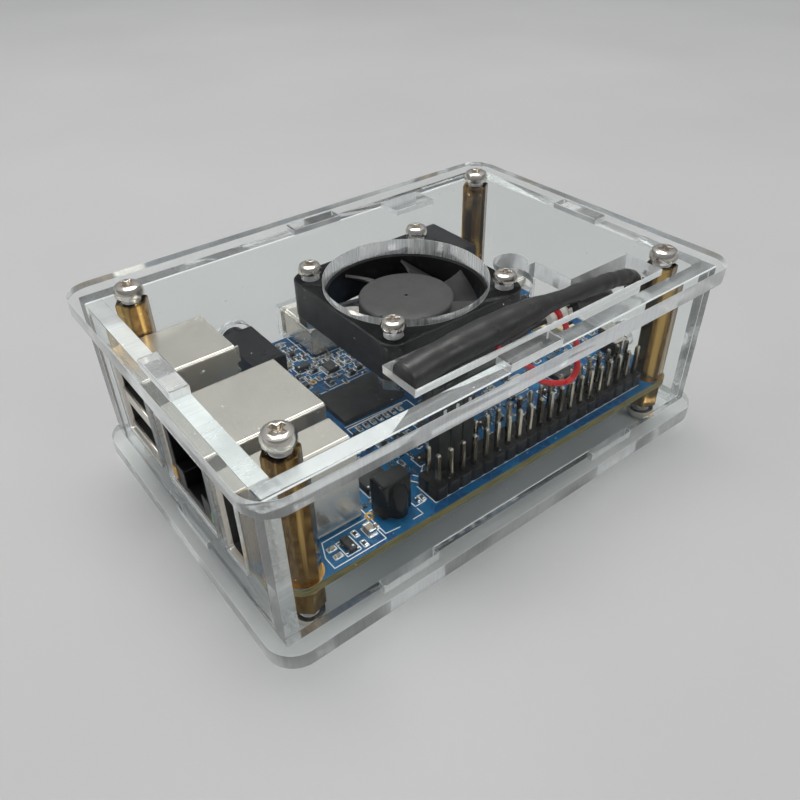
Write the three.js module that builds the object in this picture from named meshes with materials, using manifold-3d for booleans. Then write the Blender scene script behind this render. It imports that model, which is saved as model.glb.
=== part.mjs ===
// A single board computer in a clear laser-cut case with a cooling fan in the lid.
// Millimetres, +Z up. The origin is on the ground under the middle of the case.
// -X is the end with the USB and network sockets, -Y the long side with the pin header.
import * as THREE from 'three';
import { mergeVertices } from 'three/addons/utils/BufferGeometryUtils.js';
import Module from 'manifold-3d';

const wasm = await Module();
wasm.setup();

// ---- Driving dimensions -------------------------------------------------------------------------

// Acrylic case
const SHEET = 3;
const KERF = 0.1;
const PANEL = { x: 97, y: 67.6, radius: 5 };
const WALL_X = 46.2;
const WALL_Y = 31.2;
const TAB = 10.8;
const TAB_CENTRE_X = 0.6;
const TAB_CENTRE_Y = -0.6;
const LOWER_TAB_SPACING = 24;
const SLOT = { x: [-19.2, 36], y: [-27, -19.4] };
const REAR_WINDOW = { x: [16, 25.5], y: [22.3, 28] };
const SCREW_HOLE_R = 1.6;

// Board and the stack of spacers around it
const BOARD = { x: 85, y: 55, thick: 1.6, radius: 2.5 };
const POST_X = 39.5;
const POST_Y = 24.5;
const LOWER_GAP = 5;
const UPPER_GAP = 21;
const POST_FLATS = 5;
const POST_BORE_R = 1.5;
const STUD_R = 1.35;

// Fasteners
const CASE_SCREW = { head: 2.5, height: 2, shank: 1.35 };
const FAN_SCREW = { head: 2.05, height: 1.6, shank: 1.15 };
const NUT = { flats: 5, thick: 2, bore: 1.25 };

// Fan
const FAN = { x: 0.3, y: -0.3, size: 30, thick: 7, pitch: 24, duct: 14.1, corner: 3 };
const LID_HOLE_R = 14.5;
const HUB_R = 8.45;
const BLADES = 7;
const SHAFT_R = 0.75;

// Levels
const FLOOR_Z = CASE_SCREW.height;
const FLOOR_TOP = FLOOR_Z + SHEET;
const BOARD_Z = FLOOR_TOP + LOWER_GAP;
const BOARD_TOP = BOARD_Z + BOARD.thick;
const LID_Z = BOARD_TOP + UPPER_GAP;
const LID_TOP = LID_Z + SHEET;
const WALL_HEIGHT = LID_Z - FLOOR_TOP;
const FAN_Z = LID_Z - FAN.thick;

// ---- Shape helpers ------------------------------------------------------------------------------

function toSolid(geometry) {
  const bare = geometry.clone();
  bare.deleteAttribute('normal');
  bare.deleteAttribute('uv');
  const merged = mergeVertices(bare, 1e-5);
  const mesh = new wasm.Mesh({
    numProp: 3,
    vertProperties: new Float32Array(merged.attributes.position.array),
    triVerts: new Uint32Array(merged.index.array),
  });
  return new wasm.Manifold(mesh);
}

function toGeometry(solid) {
  const mesh = solid.getMesh();
  const geometry = new THREE.BufferGeometry();
  geometry.setAttribute('position', new THREE.BufferAttribute(mesh.vertProperties, 3));
  geometry.setIndex(new THREE.BufferAttribute(mesh.triVerts, 1));
  return geometry;
}

function join(first, ...others) {
  return toGeometry(others.reduce((sum, next) => sum.add(toSolid(next)), toSolid(first)));
}

function cut(first, ...tools) {
  return toGeometry(tools.reduce((rest, tool) => rest.subtract(toSolid(tool)), toSolid(first)));
}

// A box between two limits on each axis.
function block(x, y, z) {
  const box = new THREE.BoxGeometry(x[1] - x[0], y[1] - y[0], z[1] - z[0]);
  return box.translate((x[0] + x[1]) / 2, (y[0] + y[1]) / 2, (z[0] + z[1]) / 2);
}

// An upright cylinder, or a prism when it has few sides.
function post(radius, z, x = 0, y = 0, sides = 24) {
  const cylinder = new THREE.CylinderGeometry(radius, radius, z[1] - z[0], sides);
  return cylinder.rotateX(Math.PI / 2).translate(x, y, (z[0] + z[1]) / 2);
}

function hexagon(flats, z, x, y) {
  return post(flats / Math.sqrt(3), z, x, y, 6);
}

// A solid of revolution about Z through (x, y), from [radius, height] points, lowest first.
function turned(profile, x = 0, y = 0, sides = 32) {
  const points = profile.map(([radius, height]) => new THREE.Vector2(radius, height));
  return new THREE.LatheGeometry(points, sides).rotateX(Math.PI / 2).translate(x, y, 0);
}

function rectangle(x, y) {
  const shape = new THREE.Shape();
  shape.moveTo(x[0], y[0]);
  shape.lineTo(x[1], y[0]);
  shape.lineTo(x[1], y[1]);
  shape.lineTo(x[0], y[1]);
  shape.closePath();
  return shape;
}

function circle(radius, x = 0, y = 0, sides = 24) {
  const points = Array.from({ length: sides }, (_, i) => {
    const angle = (i * 2 * Math.PI) / sides;
    return new THREE.Vector2(x + radius * Math.cos(angle), y + radius * Math.sin(angle));
  });
  return new THREE.Shape(points);
}

function roundedRectangle(width, depth, radius) {
  const [w, d] = [width / 2 - radius, depth / 2 - radius];
  const shape = new THREE.Shape();
  shape.absarc(w, d, radius, 0, Math.PI / 2);
  shape.absarc(-w, d, radius, Math.PI / 2, Math.PI);
  shape.absarc(-w, -d, radius, Math.PI, 1.5 * Math.PI);
  shape.absarc(w, -d, radius, 1.5 * Math.PI, 2 * Math.PI);
  shape.closePath();
  return shape;
}

// A flat plate standing on z, with holes punched through it.
function plate(outline, thickness, z, holes = []) {
  const raise = (shape, depth, foot) => {
    const options = { depth, bevelEnabled: false, curveSegments: 8 };
    return new THREE.ExtrudeGeometry(shape, options).translate(0, 0, foot);
  };
  return cut(raise(outline, thickness, z), ...holes.map((hole) => raise(hole, thickness + 2, z - 1)));
}

// A round cable along a smooth path.
function cable(points, radius, steps = 24, sides = 16) {
  const path = new THREE.CatmullRomCurve3(points.map((p) => new THREE.Vector3(...p)));
  const section = circle(radius, 0, 0, sides);
  const options = { extrudePath: path, steps, bevelEnabled: false };
  return new THREE.ExtrudeGeometry(section, options);
}

function around(centre, spacing) {
  return [centre - spacing, centre + spacing];
}

function about(centre, size) {
  return [centre - size / 2, centre + size / 2];
}

// ---- Scene --------------------------------------------------------------------------------------

const computer = new THREE.Group();

function finish(colour, roughness, metalness = 0) {
  return () => new THREE.MeshStandardMaterial({ color: colour, roughness, metalness });
}

const acrylic = finish(0xdfe6e6, 0.08);
const brass = finish(0xb08d4a, 0.3, 1);
const nickel = finish(0xd8d2c8, 0.25, 1);
const tinplate = finish(0xc9c5bc, 0.3, 1);
const blackPlastic = finish(0x17181a, 0.55);
const greyPlastic = finish(0x3b3c3e, 0.6);
const solderMask = finish(0x14578f, 0.35);
const chipBlack = finish(0x26282a, 0.5);
const steel = finish(0x9a9a9c, 0.3, 1);
const copper = finish(0xa65f35, 0.4, 1);
const heatShrink = finish(0x2b2c2d, 0.6);
const redInsulation = finish(0xc4161c, 0.4);
const whitePlastic = finish(0xe6e4dc, 0.5);
const lensBlack = finish(0x121314, 0.15);

function add(name, geometry, material, group = computer) {
  const mesh = new THREE.Mesh(geometry, material());
  mesh.name = name;
  group.add(mesh);
  return mesh;
}

// The four corners, and how far the spacers and screws there happen to be turned.
const CORNERS = [
  { tag: 'front_left', x: -1, y: -1, turn: 0.35 },
  { tag: 'front_right', x: 1, y: -1, turn: 0.75 },
  { tag: 'back_right', x: 1, y: 1, turn: 0.1 },
  { tag: 'back_left', x: -1, y: 1, turn: Math.PI / 6 },
];

// ---- Case panels --------------------------------------------------------------------------------

const tabSpan = (centre) => about(centre, TAB + 2 * KERF);
const wallSlotX = [[-WALL_X, -WALL_X + SHEET], [WALL_X - SHEET, WALL_X]];
const wallSlotY = [[-WALL_Y, -WALL_Y + SHEET], [WALL_Y - SHEET, WALL_Y]];
const widened = ([low, high]) => [low - KERF, high + KERF];

// Slots that take the tabs of the four walls: tabs at `alongX` on the long walls, and one in the
// middle of each short wall.
function tabSlots(alongX) {
  const slots = wallSlotX.map((x) => rectangle(widened(x), tabSpan(TAB_CENTRE_Y)));
  for (const y of wallSlotY) {
    slots.push(...alongX.map((x) => rectangle(tabSpan(x), widened(y))));
  }
  return slots;
}

function postHoles() {
  return CORNERS.map(({ x, y }) => circle(SCREW_HOLE_R, x * POST_X, y * POST_Y));
}

function fanScrewPlaces() {
  return CORNERS.map(({ tag, x, y, turn }) => {
    return { tag, turn, x: FAN.x + (x * FAN.pitch) / 2, y: FAN.y + (y * FAN.pitch) / 2 };
  });
}

// The long slot for the cable, with a notch behind it that curls around a fan screw and opens into
// a round hole for the fan's plug.
function cableSlot() {
  const lobe = { x: FAN.x + FAN.pitch / 2, y: FAN.y - FAN.pitch / 2, r: 4.9 };
  const notch = { right: 21.1, back: -11 };
  const hole = { x: 18, y: -8, r: 3.1 };
  const neck = Math.asin((notch.back - hole.y) / hole.r);
  const path = new THREE.Shape();
  path.moveTo(SLOT.x[0], SLOT.y[0]);
  path.lineTo(SLOT.x[0], SLOT.y[1]);
  path.lineTo(lobe.x - 0.8, SLOT.y[1]);
  path.absarc(lobe.x, lobe.y, lobe.r, -1.31, 0.27);
  path.absarc(hole.x, hole.y, hole.r, Math.PI - neck, neck, true);
  path.lineTo(notch.right, notch.back);
  path.lineTo(notch.right, SLOT.y[1]);
  path.lineTo(SLOT.x[1], SLOT.y[1]);
  path.lineTo(SLOT.x[1], SLOT.y[0]);
  path.closePath();
  return path;
}

const lidHoles = [
  ...postHoles(),
  ...tabSlots([TAB_CENTRE_X]),
  circle(LID_HOLE_R, FAN.x, FAN.y, 64),
  ...fanScrewPlaces().map(({ x, y }) => circle(SCREW_HOLE_R, x, y)),
  rectangle(REAR_WINDOW.x, REAR_WINDOW.y),
  cableSlot(),
];

const lowerTabs = around(TAB_CENTRE_X, LOWER_TAB_SPACING);
const floorHoles = [...postHoles(), ...tabSlots(lowerTabs)];
const panelOutline = roundedRectangle(PANEL.x, PANEL.y, PANEL.radius);

// A wall drawn flat: its foot at height 0, its tabs reaching through the floor and the lid.
function wallShape(halfWidth, feet, heads) {
  const shape = new THREE.Shape();
  shape.moveTo(-halfWidth, 0);
  for (const centre of feet) {
    shape.lineTo(centre - TAB / 2, 0);
    shape.lineTo(centre - TAB / 2, -SHEET);
    shape.lineTo(centre + TAB / 2, -SHEET);
    shape.lineTo(centre + TAB / 2, 0);
  }
  shape.lineTo(halfWidth, 0);
  shape.lineTo(halfWidth, WALL_HEIGHT);
  for (const centre of heads) {
    shape.lineTo(centre + TAB / 2, WALL_HEIGHT);
    shape.lineTo(centre + TAB / 2, WALL_HEIGHT + SHEET);
    shape.lineTo(centre - TAB / 2, WALL_HEIGHT + SHEET);
    shape.lineTo(centre - TAB / 2, WALL_HEIGHT);
  }
  shape.lineTo(-halfWidth, WALL_HEIGHT);
  shape.closePath();
  return shape;
}

function longWall(y, openings) {
  const outline = wallShape(WALL_X, lowerTabs, [TAB_CENTRE_X]);
  return plate(outline, SHEET, 0, openings).rotateX(Math.PI / 2).translate(0, y[1], FLOOR_TOP);
}

function shortWall(x, openings) {
  const outline = wallShape(WALL_Y - SHEET - KERF, [TAB_CENTRE_Y], [TAB_CENTRE_Y]);
  const upright = plate(outline, SHEET, 0, openings).rotateX(Math.PI / 2).rotateZ(Math.PI / 2);
  return upright.translate(x[0], 0, FLOOR_TOP);
}

// ---- Sockets: place and size of each body, from the board's top ---------------------------------

const USB_PORT = { wide: 12.5, high: 5.1, deep: 13 };
const TONGUE_SETBACK = 1.8;
const USB_STACK = { x: [-45.9, -29.1], y: [8.8, 21.9], z: [0, 15.4] };
const NETWORK = { x: [-45.6, -24.7], y: [-11.6, 4.4], z: [0, 13.5] };
const USB_SINGLE = { x: [-45.8, -26.5], y: [-21, -15.1], z: [0, 14] };
const HDMI = { x: [-9.5, 5.5], y: [17.6, 29], z: [0.2, 6.2] };
const POWER = { x: [22.6, 31.6], y: [15, 29.4], z: [0, 11] };
const AUDIO = { x: [-24, -17], y: [14.6, 27.9], z: [0, 5.6] };
const MICRO_USB = { x: [37.6, 43.1], y: [10.6, 18.2], z: [0.1, 2.7] };
const CARD = { y: [-5.5, 5.5], x: [29.6, 44.6], z: [-1.35, -0.65] };
const BUTTON_Y = -14.6;

const onBoard = ([low, high]) => [BOARD_TOP + low, BOARD_TOP + high];
const middle = ([low, high]) => (low + high) / 2;

// A clearance hole in a wall around a socket whose faces are `u` and `z`.
function window(u, z, margin = 0.5) {
  const base = BOARD_TOP - FLOOR_TOP;
  const v = [base + z[0] - margin, base + z[1] + margin];
  return rectangle([u[0] - margin, u[1] + margin], v);
}

const leftWindows = [USB_STACK, NETWORK, USB_SINGLE].map(({ y, z }) => window(y, z));
const backWindows = [HDMI, POWER].map(({ x, z }) => window(x, z, 0.6));
const audioHole = circle(4, middle(AUDIO.x), BOARD_TOP - FLOOR_TOP + middle(AUDIO.z));
const buttonHole = circle(1.9, BUTTON_Y, BOARD_TOP - FLOOR_TOP + 1.6);
const rightWindows = [window(MICRO_USB.y, MICRO_USB.z, 1.4), window(CARD.y, [-3.1, -2.1], 0.9)];

add('bottom_panel', plate(panelOutline, SHEET, FLOOR_Z, floorHoles), acrylic);
add('lid_panel', plate(panelOutline, SHEET, LID_Z, lidHoles), acrylic);
add('front_wall', longWall(wallSlotY[0], []), acrylic);
add('back_wall', longWall(wallSlotY[1], [...backWindows, audioHole]), acrylic);
add('left_wall', shortWall(wallSlotX[0], leftWindows), acrylic);
add('right_wall', shortWall(wallSlotX[1], [...rightWindows, buttonHole]), acrylic);

// ---- Spacers and screws -------------------------------------------------------------------------

// A pan head screw pointing down from z, with a cross recess.
function panScrew({ head, height, shank }, length) {
  const profile = [
    [0, -length], [shank, -length], [shank, 0], [head, 0], [head, height * 0.45],
    [head * 0.86, height * 0.85], [head * 0.66, height], [0, height],
  ];
  const reach = head * 0.52;
  const width = head * 0.17;
  const depth = [height * 0.4, height + 1];
  const cross = join(block([-reach, reach], [-width, width], depth),
    block([-width, width], [-reach, reach], depth));
  return cut(turned(profile, 0, 0, 24), cross);
}

const caseScrew = panScrew(CASE_SCREW, 7.6);
const floorScrew = panScrew(CASE_SCREW, 5.2);
const STUD_LENGTH = 2.2;

for (const { tag, x, y, turn } of CORNERS) {
  const place = new THREE.Group();
  place.position.set(x * POST_X, y * POST_Y, 0);
  computer.add(place);

  const tall = cut(
    join(hexagon(POST_FLATS, [BOARD_TOP, LID_Z]),
      post(STUD_R, [BOARD_Z - STUD_LENGTH, BOARD_TOP + 1])),
    post(POST_BORE_R, [LID_Z - 6, LID_Z + 1]));
  const short = cut(hexagon(POST_FLATS, [FLOOR_TOP, BOARD_Z]),
    post(POST_BORE_R, [FLOOR_TOP - 1, BOARD_Z + 1]));
  add(`upper_spacer_${tag}`, tall.rotateZ(turn), brass, place);
  add(`lower_spacer_${tag}`, short.rotateZ(turn + 0.5), brass, place);

  const top = add(`lid_screw_${tag}`, caseScrew.clone(), nickel, place);
  top.position.z = LID_TOP;
  top.rotation.z = turn;
  const bottom = add(`floor_screw_${tag}`, floorScrew.clone(), nickel, place);
  bottom.position.z = FLOOR_Z;
  bottom.rotation.x = Math.PI;
}

// ---- Fan ----------------------------------------------------------------------------------------

const fan = new THREE.Group();
fan.position.set(FAN.x, FAN.y, FAN_Z);
computer.add(fan);

const MOTOR_PLATE = 1.2;
const TUBE = { outer: 2.1, inner: 0.8, top: 4.4 };

function fanFrame() {
  const screwHoles = CORNERS.map(({ x, y }) => {
    return circle(SCREW_HOLE_R, (x * FAN.pitch) / 2, (y * FAN.pitch) / 2, 16);
  });
  const outline = roundedRectangle(FAN.size, FAN.size, FAN.corner);
  const shell = plate(outline, FAN.thick, 0, [circle(FAN.duct, 0, 0, 48), ...screwHoles]);
  const ribs = [0, 1, 2].map((i) => {
    const rib = block([3, FAN.duct + 0.4], [-0.9, 0.9], [0, MOTOR_PLATE]);
    return rib.rotateZ((i * 2 * Math.PI) / 3 + 0.6);
  });
  const motorMount = post(HUB_R, [0, MOTOR_PLATE], 0, 0, 32);
  const tube = post(TUBE.outer, [0.2, TUBE.top], 0, 0, 16);
  const bearing = post(TUBE.inner, [0.6, TUBE.top + 1], 0, 0, 16);
  return cut(join(shell, motorMount, ...ribs, tube), bearing);
}

// One swept blade: a slab twisted between its leading and trailing edges.
function blade() {
  const span = [HUB_R - 0.5, FAN.duct - 0.5];
  const reach = span[1] - span[0];
  const slab = new THREE.BoxGeometry(reach, 0.7, 4.2, 4, 1, 3).translate(middle(span), 0, 0);
  const place = slab.attributes.position;
  for (let i = 0; i < place.count; i += 1) {
    const [x, y, z] = [place.getX(i), place.getY(i), place.getZ(i)];
    const out = (x - span[0]) / reach;
    const sweep = -0.22 * out * out + z * 0.115;
    place.setXYZ(i, x * Math.cos(sweep) - y * Math.sin(sweep), x * Math.sin(sweep) + y, z);
  }
  return slab;
}

const HUB_TOP = FAN.thick - 1.2;
const HUB_FOOT = 1.7;
const SHAFT_FOOT = 1;

function fanRotor() {
  const cup = turned([
    [0, 5], [HUB_R - 0.9, 5], [HUB_R - 0.9, HUB_FOOT], [HUB_R, HUB_FOOT],
    [HUB_R, HUB_TOP - 0.4], [HUB_R - 0.4, HUB_TOP], [0, HUB_TOP],
  ], 0, 0, 36);
  const blades = Array.from({ length: BLADES }, (_, i) => {
    return blade().translate(0, 0, 4).rotateZ((i * 2 * Math.PI) / BLADES + 0.2);
  });
  const socket = post(SHAFT_R + 0.02, [4, 5.4], 0, 0, 16);
  return cut(join(cup, ...blades), socket);
}

function fanStator() {
  const core = turned([[2.2, 1.5], [5.2, 1.5], [5.2, 4.1], [2.2, 4.1], [2.2, 1.5]], 0, 0, 16);
  const arms = [0, 1, 2, 3].map((i) => {
    return block([4.6, 7.2], [-1.6, 1.6], [1.9, 3.7]).rotateZ((i * Math.PI) / 2);
  });
  return join(core, ...arms);
}

add('fan_frame', fanFrame(), blackPlastic, fan);
add('fan_rotor', fanRotor(), greyPlastic, fan);
add('fan_stator', fanStator(), copper, fan);
add('fan_shaft', post(SHAFT_R, [SHAFT_FOOT, 5.3], 0, 0, 16), steel, fan);

const fanScrew = panScrew(FAN_SCREW, SHEET + FAN.thick + NUT.thick + 0.8);
const fanNut = cut(hexagon(NUT.flats, [-NUT.thick, 0]), post(NUT.bore, [-NUT.thick - 1, 1]));

for (const { tag, x, y, turn } of fanScrewPlaces()) {
  const screw = add(`fan_screw_${tag}`, fanScrew.clone(), nickel);
  screw.position.set(x, y, LID_TOP);
  screw.rotation.z = 3 * turn;
  const nut = add(`fan_nut_${tag}`, fanNut.clone(), nickel);
  nut.position.set(x, y, FAN_Z);
  nut.rotation.z = 2 * turn;
}

// ---- Board and chips ----------------------------------------------------------------------------

function chip(x, y, height) {
  return block(x, y, [BOARD_TOP, BOARD_TOP + height]);
}

const boardOutline = roundedRectangle(BOARD.x, BOARD.y, BOARD.radius);
add('circuit_board', plate(boardOutline, BOARD.thick, BOARD_Z, postHoles()), solderMask);
add('processor', chip([5, 19], [-8, 6], 1.3), chipBlack);
add('memory_left', chip([-16.8, -3.4], [-4, 5], 1.1), chipBlack);
add('memory_right', chip([21.5, 30.5], [-8, 5.4], 1.1), chipBlack);

// ---- Sockets ------------------------------------------------------------------------------------

// A sheet metal shell lying along X, its mouth at the low end, hollowed for each port in turn.
function shellAlongX({ x, y, z }, ports) {
  const body = block(x, y, onBoard(z));
  const hollows = ports.map((port) => {
    return block([x[0] - 1, x[0] + port.deep], port.y, onBoard(port.z));
  });
  const tongues = ports.map((port) => block([x[0] + TONGUE_SETBACK, x[0] + port.deep + 0.5], port.tongueY,
    onBoard(port.tongueZ)));
  return join(cut(body, ...hollows), ...tongues);
}

function flatUsbPort(yCentre, zLow) {
  const zMiddle = zLow + USB_PORT.high / 2;
  return {
    deep: USB_PORT.deep,
    y: about(yCentre, USB_PORT.wide),
    z: [zLow, zLow + USB_PORT.high],
    tongueY: about(yCentre, 11.1),
    tongueZ: [zMiddle - 0.2, zMiddle + 1.6],
  };
}

const stackMiddle = middle(USB_STACK.y);
const usbStack = shellAlongX(USB_STACK, [
  flatUsbPort(stackMiddle, 1.5),
  flatUsbPort(stackMiddle, 9.1),
]);
add('usb_stack', usbStack, tinplate);

const standing = { y: middle(USB_SINGLE.y), z: middle(USB_SINGLE.z) };
const usbSingle = shellAlongX(USB_SINGLE, [{
  deep: USB_PORT.deep,
  y: about(standing.y, USB_PORT.high),
  z: about(standing.z, USB_PORT.wide),
  tongueY: [standing.y - 0.2, standing.y + 1.6],
  tongueZ: about(standing.z, 11.1),
}]);
add('usb_single', usbSingle, tinplate);

// The network socket: a stepped mouth that takes the plug and its latch.
function networkSocket() {
  const y = middle(NETWORK.y);
  const mouth = [NETWORK.x[0] - 1, NETWORK.x[0] + 14];
  const plug = block(mouth, about(y, 11.8), onBoard([4.6, 11.6]));
  const latch = block(mouth, about(y, 6.2), onBoard([1.4, 5]));
  const contacts = block([NETWORK.x[0] + 5, NETWORK.x[0] + 14.5], about(y, 8), onBoard([10.6, 11.9]));
  return join(cut(block(NETWORK.x, NETWORK.y, onBoard(NETWORK.z)), plug, latch), contacts);
}
add('network_socket', networkSocket(), tinplate);

function hdmiSocket() {
  const body = block(HDMI.x, HDMI.y, onBoard(HDMI.z));
  const x = middle(HDMI.x);
  const mouth = block(about(x, 13.9), [HDMI.y[1] - 9, HDMI.y[1] + 1], onBoard([1, 5.4]));
  const tongue = block(about(x, 11), [HDMI.y[1] - 9.5, HDMI.y[1] - 1], onBoard([3.1, 4.1]));
  return join(cut(body, mouth), tongue);
}
add('hdmi_socket', hdmiSocket(), tinplate);

// A barrel socket with its centre pin.
function powerSocket() {
  const x = middle(POWER.x);
  const z = BOARD_TOP + 6.4;
  const alongY = (radius, length, y, sides) => {
    return new THREE.CylinderGeometry(radius, radius, length, sides).translate(x, y, z);
  };
  const mouth = alongY(3.1, 10, POWER.y[1] - 4, 24);
  const pin = alongY(0.85, 9, POWER.y[1] - 5.5, 12);
  return join(cut(block(POWER.x, POWER.y, onBoard(POWER.z)), mouth), pin);
}
add('power_socket', powerSocket(), blackPlastic);

function audioSocket() {
  const x = middle(AUDIO.x);
  const z = BOARD_TOP + middle(AUDIO.z);
  const alongY = (radius, y) => {
    return new THREE.CylinderGeometry(radius, radius, y[1] - y[0], 24)
      .translate(x, middle(y), z);
  };
  const body = block(AUDIO.x, AUDIO.y, onBoard(AUDIO.z));
  const collar = alongY(2.7, [AUDIO.y[1] - 0.5, AUDIO.y[1] + 2.1]);
  return cut(join(body, collar), alongY(1.8, [AUDIO.y[1] - 11, AUDIO.y[1] + 3]));
}
add('audio_socket', audioSocket(), blackPlastic);

function microUsb() {
  const y = middle(MICRO_USB.y);
  const body = block(MICRO_USB.x, MICRO_USB.y, onBoard(MICRO_USB.z));
  const mouth = block([MICRO_USB.x[1] - 4.4, MICRO_USB.x[1] + 1], about(y, 6.9), onBoard([0.45, 2.3]));
  const tongue = block([MICRO_USB.x[1] - 4.8, MICRO_USB.x[1] - 0.8], about(y, 3.8),
    onBoard([1.5, 2]));
  return join(cut(body, mouth), tongue);
}
add('micro_usb_socket', microUsb(), tinplate);

// Camera ribbon connector with a flip-up locking bar.
const RIBBON = { x: [33.6, 37.4], y: [-9.6, 7.6] };
const ribbonBody = cut(
  block(RIBBON.x, RIBBON.y, onBoard([0, 2])),
  block([RIBBON.x[0] + 1.7, RIBBON.x[1] + 1], [RIBBON.y[0] + 1.2, RIBBON.y[1] - 1.2], onBoard([0.9, 3])));
add('ribbon_connector', ribbonBody, whitePlastic);

const LATCH = { x: RIBBON.x[0] + 2.5, z: BOARD_TOP + 1.55, long: 1.9, thick: 0.9 };
const latchBar = join(
  block([0, LATCH.long], [RIBBON.y[0] + 1.5, RIBBON.y[1] - 1.5], about(0, LATCH.thick)),
  new THREE.CylinderGeometry(LATCH.thick / 2, LATCH.thick / 2, RIBBON.y[1] - RIBBON.y[0] - 3, 16)
    .translate(0, middle(RIBBON.y), 0));
const latch = add('ribbon_latch', latchBar, blackPlastic);
latch.position.set(LATCH.x, 0, LATCH.z);

// Memory card socket under the board, and its card.
function cardSocket() {
  const under = (z) => z.map((value) => BOARD_Z + value);
  const body = block([28.2, 42.4], [-7.2, 7.2], under([-1.85, 0]));
  return cut(body, block([29.3, 43], [CARD.y[0] - 0.15, CARD.y[1] + 0.15], under([-1.5, -0.5])));
}
add('card_socket', cardSocket(), tinplate);

function memoryCard() {
  const [x0, x1] = CARD.x;
  const [y0, y1] = CARD.y;
  const shape = new THREE.Shape();
  shape.moveTo(x1, y0);
  shape.lineTo(x1, y1);
  shape.lineTo(x0 + 5.5, y1);
  shape.lineTo(x0 + 4.3, y1 - 1.3);
  shape.lineTo(x0, y1 - 1.3);
  shape.lineTo(x0, y0);
  shape.closePath();
  return plate(shape, CARD.z[1] - CARD.z[0], BOARD_Z + CARD.z[0]);
}
add('memory_card', memoryCard(), chipBlack);

// Side push button: a housing with a plunger that travels inwards.
const BUTTON = { x: [38.6, 42.6], wide: 4.6, high: 3, travel: 0.25 };
const buttonHousing = cut(
  block(BUTTON.x, about(BUTTON_Y, BUTTON.wide), onBoard([0, BUTTON.high])),
  block([BUTTON.x[1] - 1.6, BUTTON.x[1] + 1], about(BUTTON_Y, 2.6), onBoard([0.9, 2.3])));
add('power_button_housing', buttonHousing, tinplate);
add('power_button', block([BUTTON.x[1] - 1.2, BUTTON.x[1] + 1.5], about(BUTTON_Y, 2.3),
  onBoard([1.05, 2.15])), blackPlastic);

// ---- Pin headers --------------------------------------------------------------------------------

const PITCH = 2.54;
const PIN = 0.64;

function pinHeader(columns, rows, x, y, pinTop) {
  const long = columns * PITCH;
  const base = block([x, x + long], about(y, rows * PITCH), onBoard([0, PITCH]));
  const pins = [];
  for (let row = 0; row < rows; row += 1) {
    for (let column = 0; column < columns; column += 1) {
      const px = x + (column + 0.5) * PITCH;
      const py = y + (row - (rows - 1) / 2) * PITCH;
      pins.push(block(about(px, PIN), about(py, PIN), onBoard([PITCH - 0.5, pinTop])));
    }
  }
  return join(base, ...pins);
}

const HEADER = { x: -15.4, y: -23.4, columns: 20, rows: 2, pinTop: 8.7 };
add('pin_header', pinHeader(HEADER.columns, HEADER.rows, HEADER.x, HEADER.y, HEADER.pinTop),
  blackPlastic);
add('serial_header', pinHeader(3, 1, -12, 20, 8.7).translate(19.5, 0, 0), blackPlastic);

// ---- Infrared receiver --------------------------------------------------------------------------

function receiver() {
  const x = [-24.6, -18.9];
  const y = [-24.2, -21];
  const body = block(x, y, onBoard([0.4, 7.3]));
  const dome = new THREE.SphereGeometry(2.1, 16, 10).scale(1, 0.75, 1.15);
  return join(body, dome.translate(middle(x), y[0] + 0.2, BOARD_TOP + 3.9));
}
add('infrared_receiver', receiver(), lensBlack);

// ---- Fan lead -----------------------------------------------------------------------------------

const PLUG = { x: [-13.1, -5.5], y: [-23.4, -20.9], z: [3, 17] };

// The plug drops over three pins of the header's rear row.
function plugHousing() {
  const body = block(PLUG.x, PLUG.y, onBoard(PLUG.z));
  const bores = [0, 1, 2].map((i) => {
    const x = HEADER.x + (i + 1.5) * PITCH;
    return block(about(x, 1.2), about(HEADER.y + PITCH / 2, 1.2), onBoard([PLUG.z[0] - 1, 10]));
  });
  return cut(body, ...bores);
}
add('lead_plug', plugHousing(), blackPlastic);

const sleevePath = [
  [-18.2, -23.2, 34.1], [-10, -23.3, 34.8], [0, -23.3, 35.3], [9, -23.2, 35.8],
  [17, -23.1, 35.3], [24, -22.9, 34.1], [30, -22.6, 32.4], [33.6, -22.2, 30.6],
];
const leadPath = [
  [32.4, -16.6, 26], [32.8, -18.4, 27.8], [30.6, -20, 29.1], [27, -20.6, 30.1], [20.6, -20.9, 31],
];
add('cable_sleeve', cable(sleevePath, 2), heatShrink);
add('fan_lead', cable(leadPath, 1.35, 16), heatShrink);

const redPath = [
  [19.6, -20.9, 31], [17, -20.8, 31.3], [15.6, -21.6, 29.6], [15.4, -24.2, 26.6],
  [15.4, -25.9, 23.6], [14.3, -26, 21.4], [11, -25.8, 22.6], [6, -25, 25.4], [0, -23.6, 28.6],
  [-5, -22.9, 29.7], [-7.4, -22.5, 29.9], [-8, -22.2, 28.8],
];
const blackPath = [
  [19.6, -19.4, 30.3], [15, -19.2, 29.8], [8, -19.5, 29.2], [0, -20, 29.3], [-6, -20.4, 30.6],
  [-9.6, -20.9, 31.3], [-11.6, -21.6, 30.9], [-11.9, -22.1, 28.8],
];
add('red_wire', cable(redPath, 0.65, 44, 8), redInsulation);
add('black_wire', cable(blackPath, 0.55, 30, 8), blackPlastic);

export default computer;
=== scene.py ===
"""A single board computer in a clear fan case. Lengths are in millimetres until an object is made."""
import math
import random

import bmesh
import bpy
from mathutils import Matrix, Vector


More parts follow.
